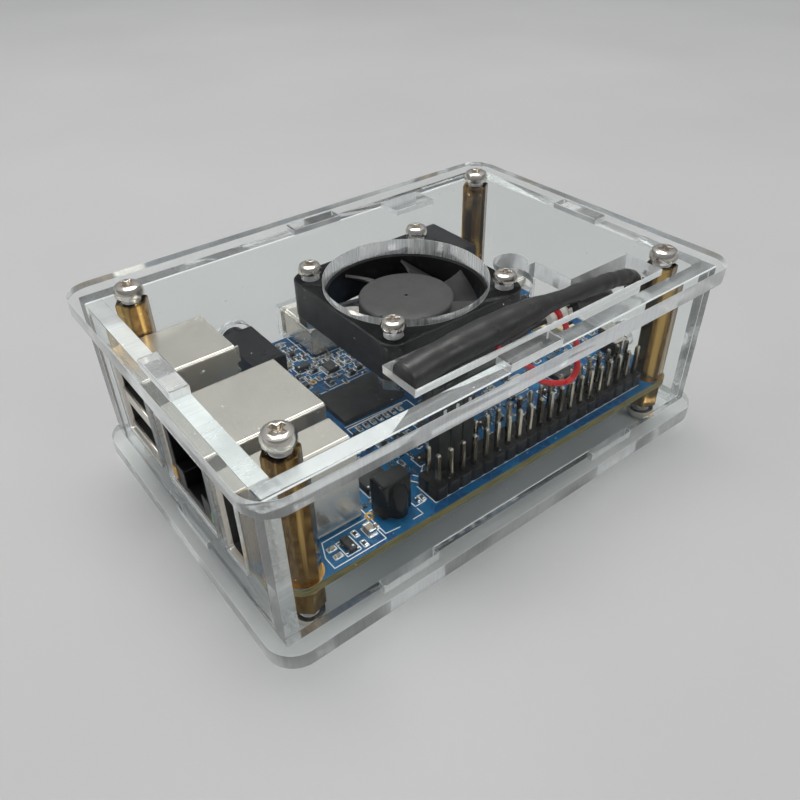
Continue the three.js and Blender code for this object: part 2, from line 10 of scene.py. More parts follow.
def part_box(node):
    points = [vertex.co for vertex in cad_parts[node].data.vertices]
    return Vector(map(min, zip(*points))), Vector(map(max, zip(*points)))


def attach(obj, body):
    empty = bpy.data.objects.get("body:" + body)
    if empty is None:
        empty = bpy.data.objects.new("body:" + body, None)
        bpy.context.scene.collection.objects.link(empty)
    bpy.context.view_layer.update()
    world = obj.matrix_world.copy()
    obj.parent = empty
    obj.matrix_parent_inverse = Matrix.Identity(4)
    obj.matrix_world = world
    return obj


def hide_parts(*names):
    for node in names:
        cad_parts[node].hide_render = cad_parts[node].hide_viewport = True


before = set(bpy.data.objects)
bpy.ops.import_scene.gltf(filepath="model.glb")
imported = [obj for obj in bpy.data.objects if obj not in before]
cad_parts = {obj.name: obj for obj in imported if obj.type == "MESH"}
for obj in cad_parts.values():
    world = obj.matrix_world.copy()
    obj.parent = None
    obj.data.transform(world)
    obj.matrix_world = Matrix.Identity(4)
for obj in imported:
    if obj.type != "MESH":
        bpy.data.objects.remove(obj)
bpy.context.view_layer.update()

MM = 0.001
CASE = "case_and_board"
TAU = 2 * math.pi
QUARTER = TAU / 4
dice = random.Random(7)


def span(node):
    """Lowest and highest corners of a CAD node, in millimetres."""
    low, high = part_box(node)
    return Vector(low) / MM, Vector(high) / MM


def moved(x, y, z=0.0, turn=0.0, axis="Z"):
    """A matrix that turns a piece about an axis and then moves it to a point."""
    return Matrix.Translation((x, y, z)) @ Matrix.Rotation(turn, 4, axis)


def show(name, data):
    """Makes an object and puts it in the scene."""
    thing = bpy.data.objects.new(name, data)
    bpy.context.scene.collection.objects.link(thing)
    return thing


# ---- Materials ----

# Materials measure in metres: these are sizes of noise in cycles per metre, and the fan hole's radius.
CLOUDS, SMUDGES, MARKS = 170, 420, 520
FAN_HOLE = 0.0155
ACRYLIC_IOR = 1.49


class Shader:
    """The node tree of a material, or of the world, written as nested calls."""

    def __init__(self, name, owners=bpy.data.materials, place="Object"):
        self.owner = owners.new(name)
        self.owner.use_nodes = True
        self.tree = self.owner.node_tree
        self.tree.nodes.clear()
        self.place = self.add("TexCoord").outputs[place]

    def add(self, kind, inputs=None, **settings):
        node = self.tree.nodes.new("ShaderNode" + kind)
        for key, value in settings.items():
            setattr(node, key, value)
        for key, value in (inputs or {}).items():
            if isinstance(value, bpy.types.Node):
                value = value.outputs[0]
            if isinstance(value, bpy.types.NodeSocket):
                self.tree.links.new(value, node.inputs[key])
            else:
                node.inputs[key].default_value = value
        return node

    def scaled(self, scale):
        return self.add("VectorMath", {0: self.place, 1: scale}, operation="MULTIPLY")

    def noise(self, scale, detail=3):
        if isinstance(scale, (int, float)):
            scale = (scale,) * 3
        return self.add("TexNoise", {"Vector": self.scaled(scale), "Scale": 1, "Detail": detail})

    def fit(self, value, low, high, out_low=0, out_high=1):
        names = ("Value", "From Min", "From Max", "To Min", "To Max")
        return self.add("MapRange", dict(zip(names, (value, low, high, out_low, out_high))))

    def maths(self, operation, a, b=0.0):
        return self.add("Math", {0: a, 1: b}, operation=operation)

    def times(self, product, *factors):
        for factor in factors:
            product = self.maths("MULTIPLY", product, factor)
        return product

    def mix(self, share, a, b):
        """Mixes two colours, each a node's or an RGB tuple."""
        a, b = ((*colour, 1) if isinstance(colour, tuple) else colour for colour in (a, b))
        return self.add("Mix", {0: share, 6: a, 7: b}, data_type="RGBA").outputs[2]

    def blend(self, share, a, b):
        return self.add("MixShader", {0: share, 1: a, 2: b})

    def bump(self, height, strength, distance=0.05):
        return self.add("Bump", {"Height": height, "Strength": strength, "Distance": distance * MM})

    def facing(self, axis):
        normal = self.add("NewGeometry").outputs["True Normal"]
        part = self.add("SeparateXYZ", {0: normal}).outputs[axis]
        return self.maths("ABSOLUTE", part)

    def principled(self, **inputs):
        return self.add("BsdfPrincipled", {k.replace("_", " "): v for k, v in inputs.items()})

    def done(self, surface):
        self.add("OutputMaterial", {"Surface": surface})
        return self.owner


def tint(colour, by):
    """The colour, brighter or darker."""
    return tuple(min(1, c * by) for c in colour)


def surface(name, colour, rough, metal=0.0, grain=2500, depth=0.2, mottle=0.2, spots=None, wear=0.25,
            shine=0.5):
    """Cloudy colour, uneven roughness, fine grain and, with spots, dull marks."""
    s = Shader(name)
    cloud = s.fit(s.noise(CLOUDS, 4), 0.35, 0.65)
    colours = s.mix(cloud, tint(colour, 1 - mottle), tint(colour, 1 + mottle))
    roughness = s.fit(s.noise(SMUDGES, 4), 0.3, 0.7, rough * (1 - wear), min(1, rough * (1 + wear)))
    if spots:
        colours = s.mix(s.fit(s.noise(MARKS, 5), 0.56, 0.68), colours, spots)
    bump = s.bump(s.noise(grain, 2), depth)
    return s.done(s.principled(Base_Color=colours, Roughness=roughness, Metallic=metal, Normal=bump,
                               Specular_IOR_Level=shine))


def acrylic(name, axis, mirrored, frosting):
    """Clear sheet whose faces lie across axis and mirror only a share of what bare acrylic would.

    Cut edges are faintly frosted, the bevels along the arrises carry a painted highlight of white frost, and
    the wall of the fan's hole is ribbed."""
    s = Shader(name)
    facing = s.facing(axis)
    edge = s.fit(facing, 0.5, 0.25).outputs[0]
    # Painted highlight: the bevel faces along each arris are turned white.
    painted_arris_highlight = s.times(s.fit(facing, 0.4, 0.6), s.fit(facing, 0.9, 0.8))
    ribs = [2300, 2300, 2300]
    ribs[axis] = 90
    height = s.noise(ribs, 2)
    radius = s.add("VectorMath", {0: s.scaled((1, 1, 0))}, operation="LENGTH").outputs["Value"]
    near_fan = s.fit(radius, FAN_HOLE + 0.001, FAN_HOLE, 0.15, 1)
    cloud = s.fit(s.noise(110, 2), 0.35, 0.65, 0.7 * frosting, 1.2 * frosting)
    ribbing = s.times(near_fan, s.fit(height, 0.35, 0.65, -0.14, 0.14))
    frost = s.times(edge, s.maths("ADD", cloud, ribbing))
    dust = s.fit(s.noise(1500, 2), 0.745, 0.78, 0, 0.6)
    flat = s.fit(facing, 0.9, 0.97)
    # What turns white: real edge frost and dust, plus the painted arris highlight.
    frost_dust_and_painted_highlight = s.maths("ADD", s.times(painted_arris_highlight, 0.9), s.maths("ADD", frost, s.times(flat, dust)))
    clear = s.principled(
        Base_Color=(0.965, 0.985, 0.98, 1), Transmission_Weight=1.0, IOR=ACRYLIC_IOR,
        Roughness=s.fit(edge, 0, 1, 0.0, 0.12),
        Normal=s.bump(height, s.times(edge, near_fan, 0.12), 0.03))
    # Where the sheet can't reflect totally, most light is only bent, so the case doesn't veil what is in it.
    side = s.add("NewGeometry")
    ends = {0: side.outputs["True Normal"], 1: side.outputs["Incoming"]}
    slope = s.add("VectorMath", ends, operation="DOT_PRODUCT").outputs["Value"]
    steep = s.fit(s.maths("ABSOLUTE", slope), 0.76, 0.8)
    passing = s.maths("MAXIMUM", steep, s.maths("SUBTRACT", 1.0, side.outputs["Backfacing"]))
    through = s.times(flat, passing, 1 - mirrored)
    bent = s.add("BsdfRefraction", {"Color": (0.982, 0.992, 0.99, 1), "Roughness": 0.0, "IOR": ACRYLIC_IOR})
    clear = s.blend(through, clear, bent)
    # White frost, also used for the painted arris highlight.
    frost_and_highlight_white = s.principled(Base_Color=(0.9, 0.91, 0.91, 1), Roughness=0.4)
    seen = s.blend(frost_dust_and_painted_highlight, clear, frost_and_highlight_white)
    shadow = s.add("BsdfTransparent", {"Color": (0.93, 0.94, 0.94, 1)})
    lamp_ray = s.add("LightPath").outputs["Is Shadow Ray"]
    return s.done(s.blend(lamp_ray, seen, shadow))


def solder_mask():
    """Blue lacquer over copper tracks, with the board's fibreglass showing at its edge."""
    s = Shader("solder_mask")
    flat = s.scaled((1000, 1000, 0))

    def cells(scale, feature):
        settings = {"voronoi_dimensions": "2D", "distance": "MANHATTAN", "feature": feature}
        inputs = {"Vector": flat, "Scale": scale, "Randomness": 1.0}
        return s.add("TexVoronoi", inputs, **settings).outputs["Distance"]

    gap = s.maths("SUBTRACT", cells(0.42, "F2"), cells(0.42, "F1"))
    fine = s.maths("SUBTRACT", cells(1.1, "F2"), cells(1.1, "F1"))
    track = s.maths("MAXIMUM", s.fit(gap, 0.1, 0.07), s.fit(fine, 0.09, 0.06, 0, 0.8))
    pour = s.fit(s.noise(140, 1), 0.47, 0.5)
    copper = s.maths("MAXIMUM", track, s.times(pour, 0.55))
    blue = s.mix(copper, (0.0015, 0.052, 0.16), (0.004, 0.13, 0.29))
    layers = s.fit(s.noise((300, 300, 9000), 2), 0.35, 0.65)
    fibre = s.mix(layers, (0.1, 0.085, 0.03), (0.26, 0.23, 0.1))
    top = s.fit(s.facing(2), 0.5, 0.8)
    colours = s.mix(top, fibre, blue)
    rough = s.fit(top, 0, 1, 0.7, 0.34)
    return s.done(s.principled(Base_Color=colours, Roughness=rough, Specular_IOR_Level=0.35,
                               Normal=s.bump(copper, 0.35, 0.04)))


def streaked(name, streak, dark, bright, roughest, marks, depth, worn=False):
    """Plated metal, with dark streaks and fine tool marks. Worn metal is darker, with bright rubs."""
    s = Shader(name)
    gold = s.fit(s.noise(*streak[:2]), *streak[2:])
    if worn:
        rubs = s.fit(s.noise(900, 3), 0.35, 0.7, 0, 0.25)
        gold = s.maths("MAXIMUM", s.times(gold, 0.85), rubs)
    colours = s.mix(gold, dark, bright)
    rough = s.fit(s.noise(1500, 3), 0.3, 0.7, *roughest)
    tool_marks = s.bump(s.noise(marks, 2), depth)
    return s.done(s.principled(Base_Color=colours, Roughness=rough, Metallic=1.0, Normal=tool_marks))


# For each axis: how much of its reflection the sheet keeps, and how frosted its cut edges are.
SHEETS = (("x", 0.25, 0.28), ("y", 0.1, 0.12), ("z", 0.22, 0.42))
CLEAR = [acrylic("acrylic_" + axis, i, *look) for i, (axis, *look) in enumerate(SHEETS)]
MASK = solder_mask()
PIN = streaked("pin_plate", ((900, 900, 130), 3, 0.42, 0.62), (0.07, 0.056, 0.038), (0.66, 0.59, 0.46),
               (0.12, 0.24), (4000, 4000, 400), 0.15)
BRASS = streaked("brass", ((620, 620, 26), 2, 0.48, 0.66), (0.085, 0.042, 0.011), (0.6, 0.39, 0.13),
                 (0.13, 0.22), (300, 300, 5200), 0.12, worn=True)
NICKEL = surface("nickel", (0.74, 0.7, 0.64), 0.18, 1, depth=0.06, mottle=0.08, wear=0.12)
TIN = surface("tinplate", (0.66, 0.62, 0.555), 0.24, 0.84, grain=(300, 4200, 4200), depth=0.02,
              mottle=0.03, wear=0.05)
# Painted shade: near black for the inner faces of the cans, which are tinplate in shade.
PAINTED_SHADE_CAN_INSIDE = surface("painted_shade_can_inside", (0.025, 0.024, 0.023), 0.5, 0.3, grain=2000)
SOLDER = surface("solder", (0.62, 0.62, 0.62), 0.26, 1, grain=1500, depth=0.3)
GOLD = surface("gold_plate", (0.75, 0.48, 0.16), 0.25, 1, depth=0.1, spots=(0.45, 0.28, 0.1))
COPPER = surface("copper_winding", (0.5, 0.2, 0.08), 0.35, 1, grain=(400, 400, 6000), depth=0.8)
STEEL = surface("ground_steel", (0.5, 0.5, 0.51), 0.22, 1, grain=(300, 300, 5000))
BLACK = surface("black_moulding", (0.009, 0.009, 0.01), 0.4, grain=3200, depth=0.25,
                spots=(0.02, 0.02, 0.02), shine=0.3)
SOCKET = surface("black_nylon", (0.007, 0.007, 0.008), 0.36, grain=1800, shine=0.3)
HUB = surface("fan_moulding", (0.062, 0.062, 0.06), 0.5, grain=3600, depth=0.4, mottle=0.12)
BLADE = surface("blade_moulding", (0.05, 0.05, 0.05), 0.34, grain=4200, depth=0.9, mottle=0.35)
CHIP = surface("chip_epoxy", (0.02, 0.021, 0.022), 0.5, grain=5200, depth=0.35, spots=(0.04, 0.04, 0.04))
CERAMIC = surface("tan_ceramic", (0.34, 0.29, 0.22), 0.5, grain=5000, depth=0.3, mottle=0.15)
DARK_CERAMIC = surface("dark_ceramic", (0.05, 0.05, 0.055), 0.45, grain=5000, depth=0.3)
FERRITE = surface("ferrite", (0.075, 0.075, 0.08), 0.6, grain=2600, depth=0.5)
SLEEVE = surface("heat_shrink", (0.024, 0.024, 0.023), 0.36, grain=(600, 1100, 1100), depth=0.5, mottle=0.25,
                 spots=(0.045, 0.045, 0.042), shine=0.65)
RED = surface("red_vinyl", (0.55, 0.012, 0.015), 0.32, grain=1600, depth=0.15, mottle=0.12)
WHITE = surface("white_nylon", (0.72, 0.7, 0.64), 0.4, grain=1800, mottle=0.06)
CREAM = surface("cream_nylon", (0.62, 0.53, 0.36), 0.42, grain=2000, mottle=0.08)
INK = surface("silkscreen", (0.8, 0.82, 0.82), 0.55, grain=5000, depth=0.3, mottle=0.08)
VIA = surface("tented_via", (0.012, 0.15, 0.32), 0.4, grain=3000)
LENS = surface("dark_lens", (0.004, 0.004, 0.005), 0.12, grain=900, depth=0.05, mottle=0.1, shine=0.28)
GREEN_LAMP = surface("green_lamp", (0.1, 0.4, 0.08), 0.2, grain=1200, depth=0.1)
AMBER_LAMP = surface("amber_lamp", (0.55, 0.3, 0.04), 0.2, grain=1200, depth=0.1)


# ---- Dressing the CAD nodes that stay ----

CREASE = math.radians(35)
BEVELLED = math.radians(38)


def smooth_by_angle():
    """A modifier's node group that shades a mesh smooth and keeps creases sharp."""
    tree = bpy.data.node_groups.new("smooth_by_angle", "GeometryNodeTree")
    for way in ("INPUT", "OUTPUT"):
        tree.interface.new_socket("Geometry", in_out=way, socket_type="NodeSocketGeometry")
    kinds = ("NodeGroupInput", "NodeGroupOutput", "GeometryNodeInputMeshEdgeAngle",
             "FunctionNodeCompare", "GeometryNodeSetShadeSmooth", "GeometryNodeSetShadeSmooth")
    source, sink, angle, sharper, edges, faces = (tree.nodes.new(kind) for kind in kinds)
    sharper.operation = "GREATER_THAN"
    sharper.inputs[1].default_value = CREASE
    edges.domain = "EDGE"
    edges.inputs["Shade Smooth"].default_value = False
    for giver, taker, entry in ((source, faces, "Geometry"), (faces, edges, "Geometry"), (angle, sharper, 0),
                                (sharper, edges, "Selection"), (edges, sink, 0)):
        tree.links.new(giver.outputs[0], taker.inputs[entry])
    return tree


SMOOTH = smooth_by_angle()


def dress(node, material, rounding, segments=2):
    """Gives a CAD node its finish, with its edges rounded by a modifier."""
    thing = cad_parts[node]
    thing.data.materials.clear()
    thing.data.materials.append(material)
    thing.modifiers.new("weld", "WELD").merge_threshold = 0.0005 * MM
    if rounding:
        bevel = thing.modifiers.new("rounding", "BEVEL")
        bevel.width = rounding * MM
        bevel.segments = segments
        bevel.limit_method = "ANGLE"
        bevel.angle_limit = BEVELLED
        bevel.use_clamp_overlap = True
    thing.modifiers.new("smooth", "NODES").node_group = SMOOTH
    flat = thing.modifiers.new("flat_faces", "WEIGHTED_NORMAL")
    flat.keep_sharp = True


def dress_nodes():
    """Each row: nodes, their material and how far their edges are rounded."""
    for nodes, material, rounding in (
        ("bottom_panel lid_panel", CLEAR[2], 0.2), ("front_wall back_wall", CLEAR[1], 0.18),
        ("left_wall right_wall", CLEAR[0], 0.18),
    ):
        for node in nodes.split():
            dress(node, material, rounding, segments=1)
    for corner in ("front_left", "front_right", "back_right", "back_left"):
        for nodes, material, rounding in (
            ("upper_spacer lower_spacer", BRASS, 0.22), ("fan_nut", NICKEL, 0.2),
            ("lid_screw floor_screw fan_screw", NICKEL, 0.07),
        ):
            for node in nodes.split():
                dress(f"{node}_{corner}", material, rounding)
    for nodes, material, rounding in (
        ("circuit_board", MASK, 0), ("processor memory_card", CHIP, 0.12),
        ("memory_left memory_right", CHIP, 0.1), ("fan_stator", COPPER, 0.15), ("fan_shaft", STEEL, 0.1),
        ("card_socket", TIN, 0.1), ("power_button", BLACK, 0.15), ("ribbon_latch", BLACK, 0.12),
    ):
        for node in nodes.split():
            dress(node, material, rounding)


dress_nodes()


# ---- Building new pieces ----


def round_rect(width, depth, radius, count=32):
    """Points of a rounded rectangle, evenly turned about its centre, so that rings match."""
    points = []
    w, d = width / 2 - radius, depth / 2 - radius
    for i in range(count):
        angle = TAU * (i + 0.5) / count
        quarter = math.floor(angle / QUARTER)
        local = (angle - quarter * QUARTER) / QUARTER
        turn = (quarter + min(1, max(0, (local - 0.3) / 0.4))) * QUARTER
        sx = 1 if math.cos(angle) >= 0 else -1
        sy = 1 if math.sin(angle) >= 0 else -1
        points.append((sx * w + radius * math.cos(turn), sy * d + radius * math.sin(turn)))
    return points


def ring(radius, count=32):
    angles = [TAU * (i + 0.5) / count for i in range(count)]
    return [(radius * math.cos(a), radius * math.sin(a)) for a in angles]


def cut_corners(x0, y0, x1, y1, corner):
    """A rectangle's outline with its corners cut off."""
    return [(x1, y0 + corner), (x1, y1 - corner), (x1 - corner, y1), (x0 + corner, y1),
            (x0, y1 - corner), (x0, y0 + corner), (x0 + corner, y0), (x1 - corner, y0)]


def inset(outline, by):
    """The outline, counter-clockwise, moved inwards."""
    points = []
    for i, here in enumerate(outline):
        before, after = Vector(outline[i - 1]), Vector(outline[(i + 1) % len(outline)])
        here = Vector(here)
        a = (here - before).normalized()
        b = (after - here).normalized()
        na, nb = Vector((-a.y, a.x)), Vector((-b.y, b.x))
        points.append(tuple(here + (na + nb) * by / max(0.3, 1 + na.dot(nb))))
    return points


def spread(count, first, step):
    """Evenly spaced places along an axis."""
    return [first + k * step for k in range(count)]


def smooth_path(points, steps):
    """A Catmull-Rom curve through the points."""
    points = [Vector(p) for p in points]
    path = []
    for i in range(len(points) - 1):
        a, b = points[max(i - 1, 0)], points[i]
        c, d = points[i + 1], points[min(i + 2, len(points) - 1)]
        for k in range(steps):
            t = k / steps
            path.append(0.5 * (2 * b + (c - a) * t + (2 * a - 5 * b + 4 * c - d) * t * t
                               + (3 * b - a - 3 * c + d) * t ** 3))
    return path + [points[-1]]


def chamfered_box():
    """The corners' signs and the faces of a box with cut-off edges.

    Each corner has three vertices, of which the first is at full size along x, the next y, the last z."""
    signs = [(a, b, c) for a in (-1, 1) for b in (-1, 1) for c in (-1, 1)]
    faces = [[3 * i, 3 * i + 1, 3 * i + 2] for i in range(8)]
    for axis in range(3):
        second, third = (axis + 1) % 3, (axis + 2) % 3

        def vertex(full, *sides):
            sign = [0, 0, 0]
            sign[axis], sign[second], sign[third] = sides
            return 3 * signs.index(tuple(sign)) + full

        around = ((-1, -1), (1, -1), (1, 1), (-1, 1))
        for b, c in around:
            faces.append([vertex(second, -1, b, c), vertex(second, 1, b, c),
                          vertex(third, 1, b, c), vertex(third, -1, b, c)])
        for side in (-1, 1):
            faces.append([vertex(axis, side, b, c) for b, c in around])
    return signs, faces


BOX_SIGNS, BOX_FACES = chamfered_box()


class Piece:
    """Gathers closed shapes in millimetres and turns them into one object."""

    def __init__(self):
        self.bm = bmesh.new()
        self.materials = []

    def paint(self, faces, material):
        if material not in self.materials:
            self.materials.append(material)
        slot = self.materials.index(material)
        for face in faces:
            face.material_index = slot

    def add(self, points, faces, material, matrix=None):
        matrix = matrix or Matrix.Identity(4)
        corners = [self.bm.verts.new(matrix @ Vector(p)) for p in points]
        self.made = [self.bm.faces.new([corners[i] for i in face]) for face in faces]
        self.paint(self.made, material)

    def box(self, low, high, material, chamfer=0.1, matrix=None):
        middle = (Vector(low) + Vector(high)) / 2
        half = (Vector(high) - Vector(low)) / 2
        chamfer = min(chamfer, 0.9 * min(half))
        points = []
        for sign in BOX_SIGNS:
            for full in range(3):
                cuts = [0 if i == full else chamfer for i in range(3)]
                points.append([middle[i] + sign[i] * (half[i] - cuts[i]) for i in range(3)])
        self.add(points, BOX_FACES, material, matrix)

    def loft(self, rings, material, matrix=None, loop=False):
        """Skins rings of equal length. Open lofts are capped, looped ones join up."""
        count, rows = len(rings[0]), len(rings)
        points = [p for one in rings for p in one]
        faces = []
        for row in range(rows if loop else rows - 1):
            a, b = row * count, (row + 1) % rows * count
            for i in range(count):
                j = (i + 1) % count
                faces.append([a + i, a + j, b + j, b + i])
        if not loop:
            faces.append(list(range(count))[::-1])
            faces.append([(rows - 1) * count + i for i in range(count)])
        self.add(points, faces, material, matrix)

    def stack(self, outlines, material, matrix=None, loop=False):
        """Lofts (outline, height) pairs."""
        self.loft([[(x, y, z) for x, y in outline] for outline, z in outlines], material, matrix, loop)

    def turned(self, profile, material, matrix=None, loop=False, sides=24):
        """Lofts a turned shape from (radius, height) pairs."""
        self.stack([(ring(r, sides), z) for r, z in profile], material, matrix, loop)

    def washer(self, outer, inner, low, high, material, matrix, sides):
        self.turned([(outer, low), (outer, high), (inner, high), (inner, low)], material, matrix, True, sides)

    def slab(self, outline, low, high, material, chamfer=0.1, matrix=None):
        small = inset(outline, chamfer)
        self.stack([(small, low), (outline, low + chamfer), (outline, high - chamfer), (small, high)],
                   material, matrix)

    def tube(self, points, radius, material, steps=8, sides=14, cap=0.0):
        """A round cable along a smooth path. radius is a number or a function of 0 to 1."""
        path = smooth_path(points, steps)
        size = radius if callable(radius) else (lambda t: radius)
        rings = []
        across = Vector((0, 0, 1))
        for i, here in enumerate(path):
            along = (path[min(i + 1, len(path) - 1)] - path[max(i - 1, 0)]).normalized()
            side = along.cross(across).normalized()
            across = side.cross(along).normalized()
            r = size(i / (len(path) - 1))
            if i in (0, len(path) - 1):
                r *= 1 - cap
            rings.append([here + r * (math.cos(a) * side + math.sin(a) * across)
                          for a in (TAU * k / sides for k in range(sides))])
        self.loft(rings, material)

    def sheet(self, rows, thickness, material, matrix=None):
        """A thick sheet through a grid of points, thickened both ways along its normals."""
        high, wide = len(rows), len(rows[0])
        half = high * wide
        points = []
        for side in (-0.5, 0.5):
            for i, row in enumerate(rows):
                for j, p in enumerate(row):
                    du = Vector(rows[min(i + 1, high - 1)][j]) - Vector(rows[max(i - 1, 0)][j])
                    dv = Vector(row[min(j + 1, wide - 1)]) - Vector(row[max(j - 1, 0)])
                    points.append(Vector(p) + du.cross(dv).normalized() * side * thickness)
        faces = []
        for side in (0, half):
            for i in range(high - 1):
                for a in range(side + i * wide, side + i * wide + wide - 1):
                    faces.append([a, a + 1, a + wide + 1, a + wide])
        rim = [*range(wide), *range(2 * wide - 1, half, wide)]
        rim += [*range(half - 2, half - wide - 1, -1), *range(half - 2 * wide, 0, -wide)]
        for a, b in zip(rim, rim[1:] + rim[:1]):
            faces.append([a, b, half + b, half + a])
        self.add(points, faces, material, matrix)

    def place(self, name, *stands_for, body=CASE, slot=None, angle=38):
        bmesh.ops.recalc_face_normals(self.bm, faces=self.bm.faces)
        bmesh.ops.scale(self.bm, vec=(MM,) * 3, verts=self.bm.verts)
        mesh = bpy.data.meshes.new(name)
        self.bm.to_mesh(mesh)
        self.bm.free()
        for material in self.materials:
            mesh.materials.append(material)
        mesh.shade_smooth()
        mesh.set_sharp_from_angle(angle=math.radians(angle))
        thing = show(name, mesh)
        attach(thing, body)
        if stands_for:
            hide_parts(*stands_for)


BOARD_LOW, BOARD_HIGH = span("circuit_board")
TOP, UNDER = BOARD_HIGH.z, BOARD_LOW.z


# ---- Sockets ----

SHELL = 0.35
LINER = SHELL + 0.02


def can(node, run=0, mouth=-1, radius=0.5, flare=0.25):
    """A folded metal can that lies along x (run 0) or y (run 1), open towards the low or high end."""
    low, high = span(node)
    across = 1 - run
    wide, tall = high[across] - low[across], high.z - low.z
    front, back = (low[run], high[run]) if mouth < 0 else (high[run], low[run])
    step = -mouth
    rows = (
        (wide - 0.3, tall - 0.3, back), (wide, tall, back - step * 0.15), (wide, tall, front + step * 0.5),
        (wide + flare, tall + flare, front), (wide + flare - 0.2, tall + flare - 0.2, front),
        (wide - 2 * SHELL, tall - 2 * SHELL, front + step * 0.7),
        (wide - 2 * SHELL, tall - 2 * SHELL, back - step * 2 * SHELL))
    middle = (low + high) / 2
    rings = []
    for w, t, along in rows:
        one = []
        for u, v in round_rect(w, t, radius):
            point = [0, 0, middle.z + v]
            point[run], point[across] = along, middle[across] + u
            one.append(point)
        rings.append(one)
    piece = Piece()
    piece.loft(rings, TIN)
    # Painted shade: the faces inside the can, its inner walls and back, are painted near black.
    inside = 5 * len(rings[0])
    piece.paint(piece.made[inside:-2] + piece.made[-1:], PAINTED_SHADE_CAN_INSIDE)
    return piece


def dimple(piece, x, y, z, radius=0.55, height=0.22):
    """A pressed spot that stands out towards the front."""
    profile = [(radius, -0.1), (radius, 0), (radius * 0.8, height * 0.6), (radius * 0.35, height)]
    piece.turned(profile, TIN, moved(x, y, z, QUARTER, "X"), sides=16)


def seam(piece, x, y, half, top):
    """A patch where the folded sheet is locked, on the can's top."""
    piece.box((x, y - half, top - 0.1), (x + 1.4, y + half, top + 0.04), TIN, 0.03)


def board_legs(piece, xs, ys, drop=1.0):
    """Small metal legs that go down into the board."""
    for x in xs:
        for y in ys:
            piece.box((x - 0.5, y - 0.18, TOP - drop), (x + 0.5, y + 0.18, TOP + 1.2), TIN, 0.05)


def usb_socket(name, ports, upright=False):
    """A USB can. ports holds the lowest and highest z of each mouth; an upright can has one mouth."""
    (x0, y0, z0), (x1, y1, z1) = span(name)
    y, z, back = (y0 + y1) / 2, (z0 + z1) / 2, x0 + 9.5
    left, right, base, roof = y0 + LINER, y1 - LINER, z0 + LINER, z1 - LINER
    piece = can(name)
    piece.box((back, left, base), (x1 - 0.8, right, roof), SOCKET, 0.1)

    def tongue(half, across, level, swap=False):
        """The tongue with its four contacts, lying flat or, swapped, on its side."""
        def corner(x, u, v):
            return (x, v, u) if swap else (x, u, v)

        piece.box(corner(x0 + 1.4, across - half, level - 0.2),
                  corner(back + 1, across + half, level + 1.6), WHITE, 0.25)
        for u in spread(4, across - 3.5, 2.33):
            piece.box(corner(x0 + 2.2, u - 0.5, level - 0.3), corner(back, u + 0.5, level - 0.1), GOLD, 0.04)

    if upright:
        tongue(5.5, z, y, swap=True)
        spots = [(5, z0 + 3.5), (5, z1 - 3.5)]
    else:
        edges = [base, *(edge for port in ports for edge in port), roof]
        for below, above in zip(edges[::2], edges[1::2]):
            # A tin front plate, and behind it a block painted near black as painted shade inside the mouths.
            piece.box((x0 + 0.25, left, below), (x0 + 0.75, right, above), TIN, 0.12)
            piece.box((x0 + 0.7, left, below), (back + 0.5, right, above), PAINTED_SHADE_CAN_INSIDE, 0.1)
        for below, above in ports:
            tongue(5.55, y, (below + above) / 2)
        piece.box((x1 - 0.2, y0 - 0.1, z1 - 3.2), (x1 + 0.55, y0 + 0.3, z1 - 0.1), TIN, 0.08)
        spots = [(10.5, z0 + 2.6), (10.5, z1 - 2.6)]
    for along, level in spots:
        dimple(piece, x0 + along, y0 + 0.02, level)
    board_legs(piece, (x0 + 4, x1 - 3), (y0 + 0.25, y1 - 0.25))
    for k in (-1, 0, 1):
        seam(piece, x1 - 3.2, y + k * (y1 - y0) / 4, 0.5, z1)
    piece.place(name + "_can", name, slot="tinplate")


def network_socket():
    (x0, y0, z0), (x1, y1, z1) = span("network_socket")
    piece = can("network_socket", flare=0.0)
    y, base, roof = (y0 + y1) / 2, z0 + LINER, z1 - LINER
    back = x0 + 13
    for left, right, bottom, top in (
        (y0 + LINER, y - 5.9, base, roof), (y + 5.9, y1 - LINER, base, roof),
        (y - 5.8, y + 5.8, z0 + 11.6, roof), (y - 5.8, y - 3.1, base, z0 + 4.6),
        (y + 3.1, y + 5.8, base, z0 + 4.6), (y - 3.0, y + 3.0, base, z0 + 1.4),
    ):
        piece.box((x0 + 0.15, left, bottom), (back, right, top), SOCKET, 0.12)
    piece.box((back - 0.2, y0 + LINER, base), (x1 - 0.8, y1 - LINER, roof), SOCKET, 0.1)
    for at in spread(8, y - 3.57, 1.02):
        piece.tube([(back - 0.5, at, z0 + 11.2), (back - 3, at, z0 + 11), (x0 + 4, at, z0 + 9.4),
                    (x0 + 3.4, at, z0 + 9.9)], 0.2, GOLD, steps=3, sides=6)
    for at, lamp in ((y - 6.9, GREEN_LAMP), (y + 6.9, AMBER_LAMP)):
        piece.box((x0 - 0.05, at - 0.75, z0 + 1), (x0 + 2, at + 0.75, z0 + 3.2), lamp, 0.15)
    dimple(piece, x0 + 8, y0 + 0.02, z0 + 6, 0.7)
    # Spring fingers near the mouth.
    for at in (z0 + 4.2, z0 + 8.6):
        piece.box((x0 + 0.8, y0 - 0.16, at - 0.9), (x0 + 5.5, y0 + 0.1, at + 0.9), TIN, 0.07)
    for at in (y0 + 3.2, y1 - 3.2):
        seam(piece, x1 - 2.6, at, 0.8, z1)
    board_legs(piece, (x0 + 7, x1 - 4), (y0 + 0.2, y1 - 0.2))
    piece.place("network_socket_can", "network_socket", slot="tinplate")


